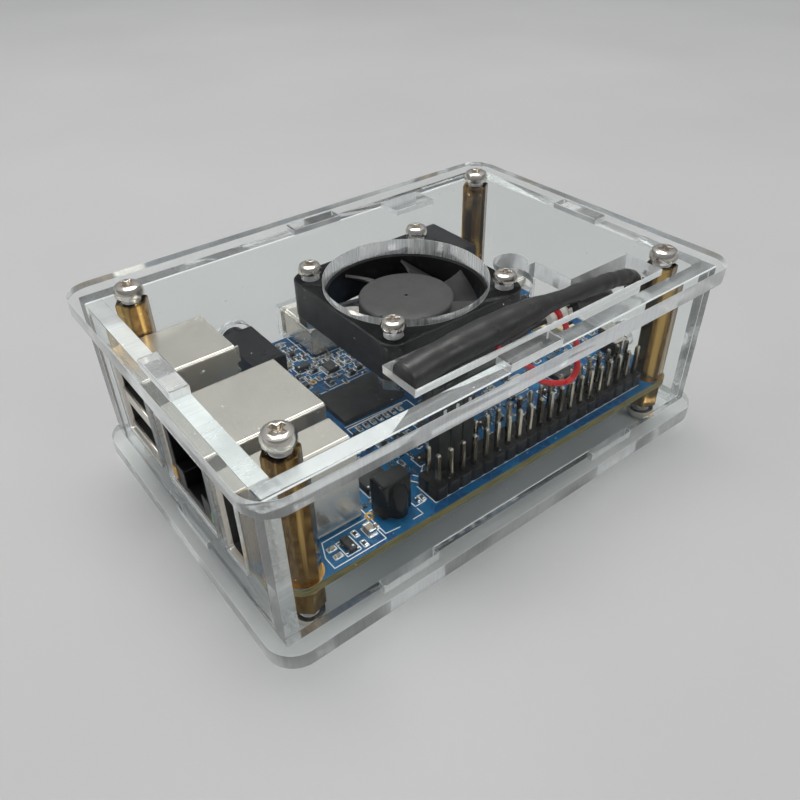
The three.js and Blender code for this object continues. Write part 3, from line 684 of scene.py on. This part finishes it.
def video_socket():
    (x0, y0, z0), (x1, y1, z1) = span("hdmi_socket")
    piece = can("hdmi_socket", run=1, mouth=1, radius=0.9, flare=0.3)
    x, z = (x0 + x1) / 2, (z0 + z1) / 2
    piece.box((x0 + 0.5, y0 + 0.8, z0 + 0.5), (x1 - 0.5, y1 - 6, z1 - 0.5), SOCKET, 0.1)
    piece.box((x - 5.5, y1 - 7, z - 0.1), (x + 5.5, y1 - 1.2, z + 0.9), SOCKET, 0.2)
    for at in spread(10, x - 4.5, 1):
        piece.box((at - 0.22, y1 - 6, z - 0.17), (at + 0.22, y1 - 1.8, z - 0.02), GOLD, 0.03)
    for at in (x - 4, x + 4):
        piece.box((at - 1, y0 + 4, z1 - 0.1), (at + 1, y1 - 3, z1 + 0.05), TIN, 0.04)
    board_legs(piece, (x0 + 0.6, x1 - 0.6), (y0 + 2, y1 - 4), 0.9)
    piece.place("hdmi_socket_can", "hdmi_socket", slot="tinplate")


def power_socket():
    (x0, y0, z0), (x1, y1, z1) = span("power_socket")
    x, bore_z, depth = (x0 + x1) / 2, TOP + 6.4, y1 - y0
    wide, tall = x1 - x0, z1 - z0
    lift = (z0 + z1) / 2 - bore_z
    piece = Piece()

    def outer(shrink):
        return [(u, v - lift) for u, v in round_rect(wide - shrink, tall - shrink, 0.8)]

    bore = moved(x, y1, bore_z, QUARTER, "X")
    rows = [(outer(0.4), depth), (outer(0), depth - 0.2), (outer(0), 0.25), (outer(0.5), 0),
            (ring(3.4), 0), (ring(3.1), 0.3), (ring(3.1), 9)]
    piece.stack(rows, SOCKET, bore)
    piece.turned([(0.85, 9.2), (0.85, 1.4), (0.5, 1.0), (0.2, 0.95)], STEEL, bore, sides=20)
    piece.turned([(3.08, 8), (3.08, 1.6), (2.9, 1.4), (2.8, 1.6), (2.8, 8)], TIN, bore, loop=True, sides=28)
    piece.box((x - 1.6, y0 - 0.3, TOP + 0.4), (x + 1.6, y0 + 0.1, TOP + 6), TIN, 0.1)
    piece.box((x0 - 0.25, y0 + 4, TOP + 0.2), (x0 + 0.1, y0 + 7, TOP + 4), TIN, 0.1)
    piece.box((x0 + 0.6, y0 + 1.2, z1 - 0.6), (x1 - 0.6, y0 + 2, z1 + 0.02), SOCKET, 0.08)
    piece.place("power_socket_body", "power_socket", slot="black_plastic")


def audio_socket():
    (x0, y0, z0), (x1, y1, z1) = span("audio_socket")
    shoulder = y1 - 2.1
    piece = Piece()
    block = [(x0, y0), (x1, y0), (x1, shoulder), (x0, shoulder)]
    piece.slab(block, z0, z1, SOCKET, 0.2)
    bore = moved((x0 + x1) / 2, y1, TOP + 2.8, QUARTER, "X")
    collar = [(2.7, 2.6), (2.7, 0.2), (2.5, 0), (1.95, 0), (1.8, 0.2), (1.8, 2.6)]
    piece.turned(collar, SOCKET, bore, loop=True)
    piece.turned([(1.79, 2.7), (1.79, 0.6), (1.6, 0.6), (1.6, 2.7)], GOLD, bore, loop=True)
    for y in (y0 + 2.5, y0 + 6, y0 + 9.5):
        for x in (x0, x1):
            piece.box((x - 0.25, y - 0.9, z0), (x + 0.25, y + 0.9, z0 + 2.6), TIN, 0.06)
    piece.box((x0 + 1, y0 + 1, z1 - 0.1), (x1 - 1, y0 + 5, z1 + 0.05), SOCKET, 0.05)
    piece.place("audio_socket_body", "audio_socket", slot="black_plastic")


def micro_usb():
    (x0, y0, z0), (x1, y1, z1) = span("micro_usb_socket")
    piece = can("micro_usb_socket", mouth=1, radius=0.7, flare=0.3)
    y = (y0 + y1) / 2
    piece.box((x0 + 0.6, y0 + 0.5, z0 + 0.5), (x1 - 4, y1 - 0.5, z1 - 0.5), SOCKET, 0.05)
    piece.box((x1 - 4.4, y - 1.9, TOP + 1.5), (x1 - 0.8, y + 1.9, TOP + 2), SOCKET, 0.1)
    for at in spread(5, y - 1.3, 0.65):
        piece.box((x1 - 3.8, at - 0.13, TOP + 1.44), (x1 - 1.1, at + 0.13, TOP + 1.53), GOLD, 0.02)
    piece.place("micro_usb_can", "micro_usb_socket", slot="tinplate")


def ribbon_connector():
    (x0, y0, z0), (x1, y1, z1) = span("ribbon_connector")
    contacts = 24
    piece = Piece()
    piece.box((x0, y0, z0), (x0 + 1.7, y1, z1), CREAM, 0.15)
    piece.box((x0 + 0.2, y0 + 0.1, z0), (x1, y1 - 0.1, z0 + 0.85), CREAM, 0.1)
    for left, right in ((y0, y0 + 1.15), (y1 - 1.15, y1)):
        piece.box((x0 + 0.1, left, z0), (x1, right, z1), CREAM, 0.15)
        piece.box((x0 + 1, left + 0.2, z0), (x1 + 0.3, right - 0.2, z0 + 0.4), TIN, 0.06)
    for y in spread(contacts, y0 + 1.7, (y1 - y0 - 3.4) / (contacts - 1)):
        piece.box((x0 - 0.7, y - 0.12, z0), (x0 + 0.3, y + 0.12, z0 + 0.25), TIN, 0.04)
        piece.box((x0 + 1.5, y - 0.1, z0 + 0.8), (x0 + 2.0, y + 0.1, z0 + 1.0), GOLD, 0.03)
    piece.place("ribbon_connector_body", "ribbon_connector", slot="white_plastic")


def push_button():
    (x0, y0, z0), (x1, y1, z1) = span("power_button_housing")
    y = (y0 + y1) / 2
    piece = Piece()
    piece.box((x0, y0, z0), (x1 - 1.7, y1, z1), BLACK, 0.15)
    for left, right in ((y0, y - 1.3), (y + 1.3, y1)):
        piece.box((x1 - 1.8, left, z0), (x1, right, z1), TIN, 0.12)
    piece.box((x1 - 1.8, y - 1.35, z0), (x1, y + 1.35, z0 + 0.85), TIN, 0.1)
    piece.box((x0 + 0.4, y0 + 0.1, z1 - 0.3), (x1, y1 - 0.1, z1 + 0.02), TIN, 0.1)
    for side in (y0 - 0.4, y1 - 0.3):
        piece.box((x0 + 0.8, side, z0), (x0 + 2.2, side + 0.7, z0 + 0.3), TIN, 0.08)
    piece.place("power_button_case", "power_button_housing", slot="tinplate")


STACK_BASE = span("usb_stack")[0].z
usb_socket("usb_stack", [(STACK_BASE + 1.5, STACK_BASE + 6.6), (STACK_BASE + 9.1, STACK_BASE + 14.2)])
usb_socket("usb_single", [], upright=True)
network_socket()
video_socket()
power_socket()
audio_socket()
micro_usb()
ribbon_connector()
push_button()


# ---- Pin headers, receiver and plug ----

PITCH = 2.54
HEADERS = (("pin_header", 20, 2), ("serial_header", 3, 1))
PIN_HALF, PIN_TIP = 0.32, 0.2


def pin_places(node, columns, rows):
    """Where a header's pins stand on the board."""
    x0, y0, _ = span(node)[0]
    return [(x0 + (column + 0.5) * PITCH, y0 + (row + 0.5) * PITCH)
            for row in range(rows) for column in range(columns)]


def pin_header(name, columns, rows):
    """A base of one block for each pin, and square pins that each lean a little."""
    top = span(name)[1].z
    base, pins = Piece(), Piece()
    block = cut_corners(-PITCH / 2, -PITCH / 2, PITCH / 2, PITCH / 2, 0.42)
    levels = [(PIN_TIP, UNDER - 1.4), (PIN_HALF, UNDER - 1.1), (PIN_HALF, top - 0.35), (PIN_TIP, top)]
    for x, y in pin_places(name, columns, rows):
        here = moved(x, y)
        base.slab(block, TOP + 0.02, TOP + PITCH, BLACK, 0.12, here)
        lean = dice.uniform(-0.05, 0.05)
        squares = []
        for half, z in levels:
            aside = lean * (z - TOP) / 8
            corners = ((half, -half), (half, half), (-half, half), (-half, -half))
            squares.append(([(aside + u, v) for u, v in corners], z))
        pins.stack(squares, PIN, here)
        # Painted highlight: the top and the chamfer round it are given the brighter tinplate finish.
        pins.paint(pins.made[8:12] + pins.made[13:], TIN)
    base.place(name + "_base", name, slot="black_plastic")
    pins.place(name + "_pins", slot="brass", angle=25)


def receiver():
    (x0, y0, z0), (x1, y1, z1) = span("infrared_receiver")
    x, back = (x0 + x1) / 2, y1
    half, depth, radius, corner = (x1 - x0) / 2, 3.2, 1.65, 0.4
    here = moved(x, back)
    body = [(-half, -depth + corner), (-half + corner, -depth), (half - corner, -depth),
            (half, -depth + corner), (half, 0), (-half, 0)]
    cap = [(px * 0.94, py * 0.94 - 0.05) for px, py in body]
    piece = Piece()
    piece.slab(body, z0, z1 - 0.3, LENS, 0.12, here)
    piece.slab(cap, z1 - 0.45, z1, BLACK, 0.2, here)
    # The lens: an upright column whose top is a dome.
    shoulder = z0 + 4.4
    column = [(radius * 0.9, z0), (radius, z0 + 0.2), (radius, shoulder)]
    for k in range(1, 9):
        rise = k * QUARTER / 9
        column.append((radius * math.cos(rise), shoulder + radius * math.sin(rise)))
    column.append((0.1, shoulder + radius))
    piece.turned(column, LENS, moved(x, y0 + radius), sides=32)
    for leg in (x - 2, x, x + 2):
        piece.box((leg - 0.25, back - 1.3, TOP - 0.9), (leg + 0.25, back - 0.9, z0 + 0.2), SOLDER, 0.05)
    piece.place("infrared_receiver_body", "infrared_receiver", slot="lens_black")


def lead_plug():
    (x0, y0, z0), (x1, y1, z1) = span("lead_plug")
    width = (x1 - x0) / 3
    piece = Piece()
    for x in spread(3, x0, width):
        piece.slab(cut_corners(x, y0, x + width, y1, 0.22), z0, z1, BLACK, 0.15)
        middle = x + width / 2
        # A window with the end of the crimped contact in it.
        piece.box((middle - 0.55, y0 - 0.06, z1 - 5), (middle + 0.55, y0 + 0.2, z1 - 2.2), SOCKET, 0.1)
        piece.box((middle - 0.35, y0 - 0.1, z1 - 4.6), (middle + 0.35, y0 + 0.1, z1 - 3), SOLDER, 0.06)
    piece.place("lead_plug_body", "lead_plug", slot="black_plastic")


for header in HEADERS:
    pin_header(*header)
receiver()
lead_plug()


# ---- Fan ----

BLADES = 7
FAN_SIZE = 30
HUB_TOP, HUB_RADIUS = 6.2, 8.5


def fan_place():
    """A matrix that moves a piece to the middle of the fan's underside, and the fan's thickness."""
    low, high = span("fan_frame")
    middle = (low + high) / 2
    return moved(middle.x, middle.y, low.z), high.z - low.z


def fan_frame():
    here, thick = fan_place()
    sides = 64
    square = round_rect(FAN_SIZE, FAN_SIZE, 3, sides)
    small = round_rect(FAN_SIZE - 0.4, FAN_SIZE - 0.4, 2.8, sides)
    bore, mouth = ring(14.1, sides), ring(14.4, sides)
    piece = Piece()
    piece.stack([(bore, 0.3), (mouth, 0), (small, 0), (square, 0.2), (square, thick - 0.2),
                 (small, thick), (mouth, thick), (bore, thick - 0.3)], BLACK, here, loop=True)
    for k in range(3):
        strut = moved(0, 0, turn=k * TAU / 3 + 0.6)
        piece.box((6, -1, 0.1), (14.5, 1, 1.2), BLACK, 0.25, here @ strut)
    piece.turned([(7.9, 0.15), (8.4, 0.45), (8.4, 1.0), (8.2, 1.2)], BLACK, here, sides=48)
    bearing = [(2.1, 1), (2.1, 4.3), (1.9, 4.4), (0.9, 4.4), (0.82, 4.3), (0.82, 1)]
    piece.turned(bearing, BLACK, here, loop=True)
    piece.place("fan_frame_moulding", "fan_frame", slot="black_plastic")


def blade_rows():
    """A grid of points over one blade, from the hub outwards and from its top edge down."""
    rows = []
    for i in range(8):
        out = i / 7
        radius = 8.1 + out * 5.5
        row = []
        for j in range(9):
            down = j / 8
            angle = 0.155 * out - (0.64 - 0.06 * out) * down
            z = 6.15 - 4.2 * down - 0.3 * math.sin(math.pi * down) - 0.12 * out * (1 - down)
            row.append((radius * math.cos(angle), radius * math.sin(angle), z))
        rows.append(row)
    return rows


def fan_wheel():
    here, _ = fan_place()
    top, rim = HUB_TOP, HUB_RADIUS
    piece = Piece()
    for profile, sides in (
        ([(rim - 0.2, 1.7), (rim, 1.85), (rim, top - 0.45), (rim - 0.12, top - 0.18), (rim - 0.4, top - 0.03),
          (5.0, top), (0.3, top), (0.3, top - 0.8), (rim - 0.95, top - 0.8), (rim - 0.85, 1.7)], 64),
        ([(0.79, 4.6), (1.4, 4.7), (1.4, top - 0.7), (0.79, top - 0.7)], 24),
        ([(0.4, top - 0.02), (0.62, top + 0.04), (0.7, top + 0.04), (0.82, top - 0.02)], 24),
    ):
        piece.turned(profile, HUB, here, loop=True, sides=sides)
    for k in range(BLADES):
        piece.sheet(blade_rows(), 0.5, BLADE, here @ moved(0, 0, turn=k * TAU / BLADES - 0.075))
    piece.place("fan_wheel_moulding", "fan_rotor", body="fan_wheel", slot="grey_plastic", angle=45)


fan_frame()
fan_wheel()


# ---- Cable and wires ----


def cable(name, node, slot, points, radius, material, steps=8, sides=14, cap=0.0):
    piece = Piece()
    piece.tube(points, radius, material, steps, sides, cap)
    piece.place(name, node, slot=slot, angle=60)


def sleeve_radius(t):
    """Thick where it covers the joint, then narrowing to the bare lead, with small lumps."""
    neck = min(1, max(0, (t - 0.23) / 0.19))
    return 2.6 - 1.15 * neck * neck * (3 - 2 * neck) + 0.05 * math.sin(43 * t) + 0.04 * math.sin(97 * t + 1)


def ferrule():
    """A white ring, a metal band and a dark one, lying along x."""
    lying = Matrix(((0, 0, 1, 0), (1, 0, 0, 0), (0, 1, 0, 0), (0, 0, 0, 1)))
    here = Matrix.Translation((14.2, -20.9, 31.0)) @ lying
    piece = Piece()
    for profile, material in (
        ([(1.2, 0), (1.45, 0.25), (1.45, 3.6), (1.2, 3.9)], WHITE),
        ([(1.25, 3.8), (1.5, 3.9), (1.5, 4.8), (1.25, 4.9)], NICKEL),
        ([(1.3, 4.9), (1.42, 5.0), (1.42, 6.3), (1.3, 6.4)], SOCKET),
    ):
        piece.turned(profile, material, here, sides=28)
    piece.place("lead_ferrule", slot="white_plastic")


cable("cable_sleeve_tube", "cable_sleeve", "heat_shrink",
      [(-18, -22.6, 34.2), (-10, -22.5, 35.0), (0, -22.5, 35.4), (9, -22.8, 35.9), (17, -23.0, 35.6),
       (24, -22.9, 35.0), (28, -22.7, 34.4), (32, -22.6, 33.6), (34.4, -22.4, 32.4), (35.2, -22.2, 30.2)],
      sleeve_radius, SLEEVE, steps=14, sides=28, cap=0.12)
cable("fan_lead_tube", "fan_lead", "heat_shrink",
      [(32.4, -16.6, 26), (32.8, -18.4, 27.8), (30.6, -20, 29.1), (27, -20.6, 30.1), (20.6, -20.9, 31)],
      1.35, SLEEVE, steps=12, sides=24, cap=0.15)
ferrule()
cable("red_wire_tube", "red_wire", "red_insulation",
      [(14.8, -19.2, 31), (15.3, -20.3, 32.6), (15.7, -21.9, 32.2), (15.8, -23.2, 29.8), (15.7, -24.9, 26.4),
       (15.3, -25.9, 24.2), (13.9, -26, 22.5), (11.2, -25.8, 22.9), (8.6, -25.4, 24), (6, -25, 25.8),
       (3.4, -24, 28), (1.6, -22.6, 30.6), (1, -22.3, 34)], 0.52, RED)
cable("black_wire_tube", "black_wire", "heat_shrink",
      [(14.4, -20.6, 30.6), (12, -19.6, 29.8), (8, -19.5, 29.2), (0, -20, 29.3), (-6, -20.4, 30.6),
       (-9.6, -20.9, 31.3), (-11.6, -21.6, 30.9), (-11.9, -22.1, 28.4)], 0.55, SLEEVE, sides=12)


# ---- Small parts on the board ----

HOLES = [(x, y) for x in (-39.5, 39.5) for y in (-24.5, 24.5)]
HOLE_CLEAR = 3.4
# Nothing small reaches further than this from the board's centre.
HALF_LONG, HALF_WIDE = 42.2, 27.2
# Each pad's place and radius.
PROBE_PADS = ((-25.5, -21.6, 0.85), (-14.1, 10.6, 0.75), (38.2, 3.5, 0.7), (-25.6, 25.2, 0.9),
              (14.4, 25.3, 0.9))
BIG_NODES = ("usb_stack", "usb_single", "network_socket", "hdmi_socket", "power_socket", "audio_socket",
             "micro_usb_socket", "ribbon_connector", "power_button_housing", "pin_header", "serial_header",
             "infrared_receiver", "processor", "memory_left", "memory_right")
SILK_WIDTH = 0.17
# Boxes on the board that are in use: x0, y0, x1, y1.
taken = []


def keep_clear(x0, y0, x1, y1, margin):
    taken.append((x0 - margin, y0 - margin, x1 + margin, y1 + margin))


for node in BIG_NODES:
    low, high = span(node)
    keep_clear(low.x, low.y, high.x, high.y, 0.5)
for x, y in HOLES:
    keep_clear(x, y, x, y, HOLE_CLEAR)
for x, y, radius in PROBE_PADS:
    keep_clear(x, y, x, y, radius)


def line(a, b, width=SILK_WIDTH):
    """A silkscreen line on the board's top."""
    ahead = Vector(b) - Vector(a)
    here = moved(*a, TOP, math.atan2(ahead.y, ahead.x))
    silk.box((-width / 2, -width / 2, -0.01), (ahead.length + width / 2, width / 2, 0.025), INK, 0.005, here)


def outline(points, width=SILK_WIDTH):
    for a, b in zip(points, points[1:]):
        line(a, b, width)


def rectangle(x0, y0, x1, y1, width=SILK_WIDTH):
    outline([(x0, y0), (x1, y0), (x1, y1), (x0, y1), (x0, y0)], width)


def with_ends(piece, here, long, wide, tall, body):
    l, w, end = long / 2, wide / 2, long * 0.2
    piece.box((-l + end, -w + 0.02, 0.05), (l - end, w - 0.02, tall), body, 0.05, here)
    for x0, x1 in ((-l, -l + end), (l - end, l)):
        piece.box((x0, -w, 0.02), (x1, w, tall + 0.01), SOLDER, 0.06, here)
        piece.box((x0 - 0.16, -w - 0.05, 0), (x1 + 0.1, w + 0.05, 0.1), SOLDER, 0.04, here)


def as_array(piece, here, long, wide, tall, body):
    l, w = long / 2, wide / 2
    piece.box((-l, -w + 0.1, 0.05), (l, w - 0.1, tall), body, 0.06, here)
    for x in spread(4, -l + long / 8, long / 4):
        for y in (-w, w):
            piece.box((x - 0.15, y - 0.15, 0), (x + 0.15, y + 0.15, tall * 0.8), SOLDER, 0.04, here)


def as_can(piece, here, long, wide, tall, body):
    piece.slab(round_rect(long, wide, 0.4, 16), 0.02, tall, body, 0.12, here)
    piece.slab(round_rect(long - 0.6, wide - 0.6, 0.3, 16), tall - 0.1, tall + 0.1, body, 0.05, here)


def with_legs(piece, here, long, wide, tall, body, near, far):
    """A moulded body with a dot at one corner and bent legs along its near and far sides."""
    l, w = long / 2, wide / 2
    piece.box((-l, -w, 0.1), (l, w, tall), body, 0.12, here)
    dot = [(0.2, tall - 0.02), (0.2, tall + 0.01), (0.15, tall + 0.015)]
    piece.turned(dot, INK, here @ moved(-l + 0.5, -w + 0.5), sides=10)
    for side, count in ((-1, near), (1, far)):
        for x in spread(count, 0.4 - l, (long - 0.8) / (count - 1)):
            for root, toe, z0, z1 in ((-0.05, 0.5, 0, 0.16), (-0.1, 0.12, 0.05, tall * 0.55)):
                y0, y1 = sorted((side * (w + root), side * (w + toe)))
                piece.box((x - 0.13, y0, z0), (x + 0.13, y1, z1), SOLDER, 0.04, here)


# Each kind: length, width, height, body, how it is made and, where it has legs, how many on each side.
KINDS = {
    "resistor": (1.0, 0.5, 0.35, DARK_CERAMIC, with_ends),
    "capacitor": (1.0, 0.55, 0.5, CERAMIC, with_ends),
    "large_capacitor": (2.0, 1.25, 1.1, CERAMIC, with_ends),
    "diode": (1.7, 1.1, 0.8, CHIP, with_ends),
    "transistor": (2.9, 1.4, 1.0, CHIP, with_legs, 3, 2),
    "small_chip": (5.0, 4.0, 1.3, CHIP, with_legs, 8, 8),
    "tiny_chip": (3.0, 2.4, 0.9, CHIP, with_legs, 8, 8),
    "choke": (3.0, 3.0, 1.5, FERRITE, with_ends),
    "crystal": (3.2, 2.5, 0.8, TIN, as_can),
    "array": (2.0, 1.0, 0.45, DARK_CERAMIC, as_array),
}
parts = {kind: Piece() for kind in KINDS}
silk = Piece()


def small_part(kind, x, y, turned=False, marked=False):
    """Puts a part on the board, with a silkscreen box round it if marked, unless it has no room."""
    long, wide, tall, body, make, *legs = KINDS[kind]
    hx, hy = (0.15, 0.55) if legs else (0.2, 0.15)
    hx, hy = long / 2 + hx, wide / 2 + hy
    if turned:
        hx, hy = hy, hx
    x0, y0, x1, y1 = x - hx, y - hy, x + hx, y + hy
    gap = 0.1
    if abs(x) + hx >= HALF_LONG or abs(y) + hy >= HALF_WIDE:
        return
    if any(x0 < t[2] + gap and x1 > t[0] - gap and y0 < t[3] + gap and y1 > t[1] - gap for t in taken):
        return
    taken.append((x0, y0, x1, y1))
    make(parts[kind], moved(x, y, TOP, QUARTER if turned else 0), long, wide, tall, body, *legs)
    if marked:
        rectangle(x0, y0, x1, y1, 0.18)


def scatter(x, y, count, marked, kinds):
    """Tries random places in the ranges x and y, on a half-millimetre grid."""
    for _ in range(count):
        kind = dice.choice(kinds)
        px = round(dice.uniform(*x) * 2) / 2
        py = round(dice.uniform(*y) * 2) / 2
        small_part(kind, px, py, dice.random() < 0.5, dice.random() < marked)


def place_parts():
    """First the parts that stand out, then a row beside the memory chip, then the rest at random."""
    for kind, *places in (
        ("transistor", (-31.6, -24.6, True), (-13.2, 15.6), (34.5, -19), (20, -16.5), (-6, -11.5, True)),
        ("large_capacitor", (-27.4, -24.1, True), (5.6, 10.2, True), (-30.5, -13.6, True), (33.8, 12, True),
         (18, 13.4)),
        ("resistor", (-29.4, -25.6, True), (-29.4, -23.2, True)),
        ("capacitor", (-33.9, -23.5), (-33.9, -25.2)),
        ("choke", (0.6, 12.5), (10.5, 12.5), (35.5, 19.6)),
        ("small_chip", (-20.5, -15.8), (12.5, 19.6), (26, -14.5), (-9.5, 22.4)),
        ("tiny_chip", (-8.9, 12.3, True)),
        ("diode", (-11.6, 8.4, True), (-6.8, 8.2), (-4.6, 8.9)),
        ("crystal", (-20.5, 8.5), (0.5, -12, True), (16, -12.3)),
    ):
        for place in places:
            small_part(kind, *place, marked=True)
    for k in range(7):
        small_part("resistor" if k % 2 else "capacitor", -15.2 + 1.5 * k, -6.2, True, True)
        small_part("resistor", -15.2 + 1.5 * k, -8.2, True, k % 3 > 0)
    for x, y, count, marked, kinds in (
        ((-26, -19), (-20.5, -11), 90, 0.5, "capacitor large_capacitor resistor diode"),
        ((-16, -3), (10, 27), 900, 1.0, "resistor capacitor capacitor resistor diode"),
        ((-26, -14), (-27, -12), 110, 0.3, "resistor capacitor resistor diode"),
        ((-17, 42), (-19.5, -9), 360, 0.3, "resistor capacitor diode transistor large_capacitor"),
        ((-24, 42), (6, 27), 520, 0.25, "resistor capacitor capacitor transistor array"),
        ((-42, 42), (-27, 27), 500, 0.2, "resistor capacitor array"),
    ):
        scatter(x, y, count, marked, kinds.split())
    for kind, piece in parts.items():
        piece.place(kind + "_parts", angle=25)


def print_lines():
    """The header's outline, the corner boxes, the chips' and sockets' outlines and some loose dashes."""
    outline([(-15.5, -21.1), (-15.5, -25.8), (35, -25.9), (35.3, -21)])
    outline([(-34.4, -21.6), (-26.2, -21.6), (-26.2, -26.8), (-35.6, -26.8), (-35.6, -24.4), (-34.4, -21.6)])
    outline([(-24.9, -20.7), (-18.6, -20.7), (-18.6, -24.4), (-16.6, -24.4)])
    outline([(-25.7, -19), (-25.7, -26), (-23.2, -26.3)])
    outline([(-20.5, -26.3), (-18.6, -26.3), (-18.6, -24.9)])
    line((-15.4, 6.6), (-4, 6.7))
    line((-17, -4.4), (-4.9, -4.9))
    line((-17, -5.1), (-4.9, -5.3))
    rectangle(-17, -9.2, -3.6, -5.0)
    outline([(-21.7, -12.6), (-17.6, -12.9), (-11.8, -12.9), (-11.5, -17.7), (-14.9, -20.7)])
    rectangle(4.2, -8.8, 19.8, 6.8)
    rectangle(20.8, -8.7, 31.2, 6.1)
    for x in spread(6, -16, 1.7):
        line((x, -18.6), (x + 1.1, -20.3), 0.22)
    gap = 0.35
    for name in ("hdmi_socket", "power_socket", "audio_socket", "ribbon_connector", "serial_header",
                 "network_socket"):
        low, high = span(name)
        rectangle(low.x - gap, low.y - gap, high.x + gap, min(high.y + gap, HALF_WIDE))
    for _ in range(90):
        x, y = dice.uniform(-15.5, -3.5), dice.uniform(10.5, 26.5)
        reach = dice.uniform(0.5, 1.4)
        line((x, y), (x + reach, y) if dice.random() < 0.5 else (x, y + reach), 0.15)
    silk.place("silkscreen_lines")


def plated_pads():
    """Rings round the corner holes on both faces, the probe pads, and vias where nothing else stands."""
    piece = Piece()
    for x, y in HOLES:
        for z0, z1 in ((TOP - 0.01, TOP + 0.04), (UNDER - 0.04, UNDER + 0.01)):
            piece.washer(3.1, 1.75, z0, z1, GOLD, moved(x, y), 40)
    for x, y, radius in PROBE_PADS:
        piece.washer(radius, radius * 0.45, TOP - 0.01, TOP + 0.05, GOLD, moved(x, y), 24)
    gap = 0.2
    for _ in range(420):
        x, y = dice.uniform(-41, 41), dice.uniform(-26, 26)
        if not any(t[0] - gap < x < t[2] + gap and t[1] - gap < y < t[3] + gap for t in taken):
            piece.washer(0.3, 0.14, TOP - 0.01, TOP + 0.02, VIA, moved(x, y), 10)
    piece.place("plated_pads", slot="brass")


def solder_cone(piece, x, y, radius):
    """A joint under the board, round the end of a leg."""
    piece.turned([(radius, UNDER + 0.02), (radius, UNDER - 0.05), (radius * 0.72, UNDER - 0.3),
                  (0.4, UNDER - 0.95), (0.2, UNDER - 1.0)], SOLDER, moved(x, y), sides=12)


def solder_joints():
    piece = Piece()
    for header in HEADERS:
        for x, y in pin_places(*header):
            solder_cone(piece, x, y, 0.85)
    for node, columns, rows, margin in (
        ("usb_stack", 4, 2, 3.5), ("usb_single", 4, 1, 2.9), ("network_socket", 6, 2, 4.5),
        ("power_socket", 1, 3, 3), ("audio_socket", 2, 3, 2), ("hdmi_socket", 2, 2, 2),
    ):
        low, high = span(node)
        for row in range(rows):
            for column in range(columns):
                u = 0.5 if columns == 1 else column / (columns - 1)
                v = 0.5 if rows == 1 else row / (rows - 1)
                solder_cone(piece, low.x + margin + u * (high.x - low.x - 2 * margin),
                            low.y + margin + v * (high.y - low.y - 2 * margin), 0.75)
    piece.place("solder_joints")


place_parts()
print_lines()
plated_pads()
solder_joints()


# ---- Floor, light and camera ----


def floor():
    s = Shader("pale_floor")
    shade = s.mix(s.fit(s.noise(9, 3), 0.3, 0.7), (0.53, 0.53, 0.525), (0.57, 0.57, 0.565))
    material = s.done(s.principled(Base_Color=shade, Roughness=0.65, Normal=s.bump(s.noise(900, 2), 0.05)))
    mesh = bpy.data.meshes.new("floor")
    reach = 2.5
    corners = [(-reach, -reach, 0), (reach, -reach, 0), (reach, reach, 0), (-reach, reach, 0)]
    mesh.from_pydata(corners, [], [(0, 1, 2, 3)])
    mesh.materials.append(material)
    show("floor", mesh)


def sky():
    """A soft studio: dim near the floor and brighter overhead."""
    s = Shader("studio", bpy.data.worlds, "Generated")
    up = s.add("SeparateXYZ", {0: s.place}).outputs["Z"]
    glow = s.add("Background", {"Strength": s.fit(up, 0, 1, 0.16, 0.62), "Color": (0.95, 0.97, 1.0, 1)})
    s.add("OutputWorld", {"Surface": glow})
    bpy.context.scene.world = s.owner


def soft_light(name, place, width, depth, watts, colour=(1, 1, 1)):
    """A rectangular lamp, in metres, that points at the middle of the case."""
    lamp = bpy.data.lights.new(name, "AREA")
    lamp.shape = "RECTANGLE"
    lamp.size, lamp.size_y, lamp.energy, lamp.color = width, depth, watts, colour
    thing = show(name, lamp)
    thing.location = place
    away = Vector(place) - Vector((0, 0, 0.02))
    thing.rotation_euler = away.to_track_quat("Z", "Y").to_euler()


def camera():
    """Solved from the case's corners: turned, tipped and slightly rolled."""
    turn, tip, roll = (math.radians(a) for a in (-37.294, 37.441, -1.22))
    place = Vector((-71.15, -91.65, 97.29)) * MM
    back = Vector((math.sin(turn) * math.cos(tip), -math.cos(turn) * math.cos(tip), math.sin(tip)))
    right = Vector((math.cos(turn), math.sin(turn), 0))
    up = back.cross(right)
    rolled_right = math.cos(roll) * right + math.sin(roll) * up
    rolled_up = math.cos(roll) * up - math.sin(roll) * right
    data = bpy.data.cameras.new("camera")
    data.sensor_width = 36
    data.lens = 33.664
    data.clip_start = 0.005
    thing = show("camera", data)
    axes = Matrix((rolled_right, rolled_up, back)).transposed()
    thing.matrix_world = Matrix.Translation(place) @ axes.to_4x4()
    bpy.context.scene.camera = thing


bpy.context.scene.view_settings.view_transform = "Standard"
floor()
sky()
soft_light("overhead_softbox", (0.1, 0.22, 0.75), 0.5, 0.4, 2.6, (1, 0.985, 0.96))
soft_light("left_softbox", (-0.62, 0.25, 0.42), 0.3, 0.3, 1.3)
soft_light("front_fill", (0.25, -0.7, 0.5), 0.35, 0.3, 0.9)
camera()
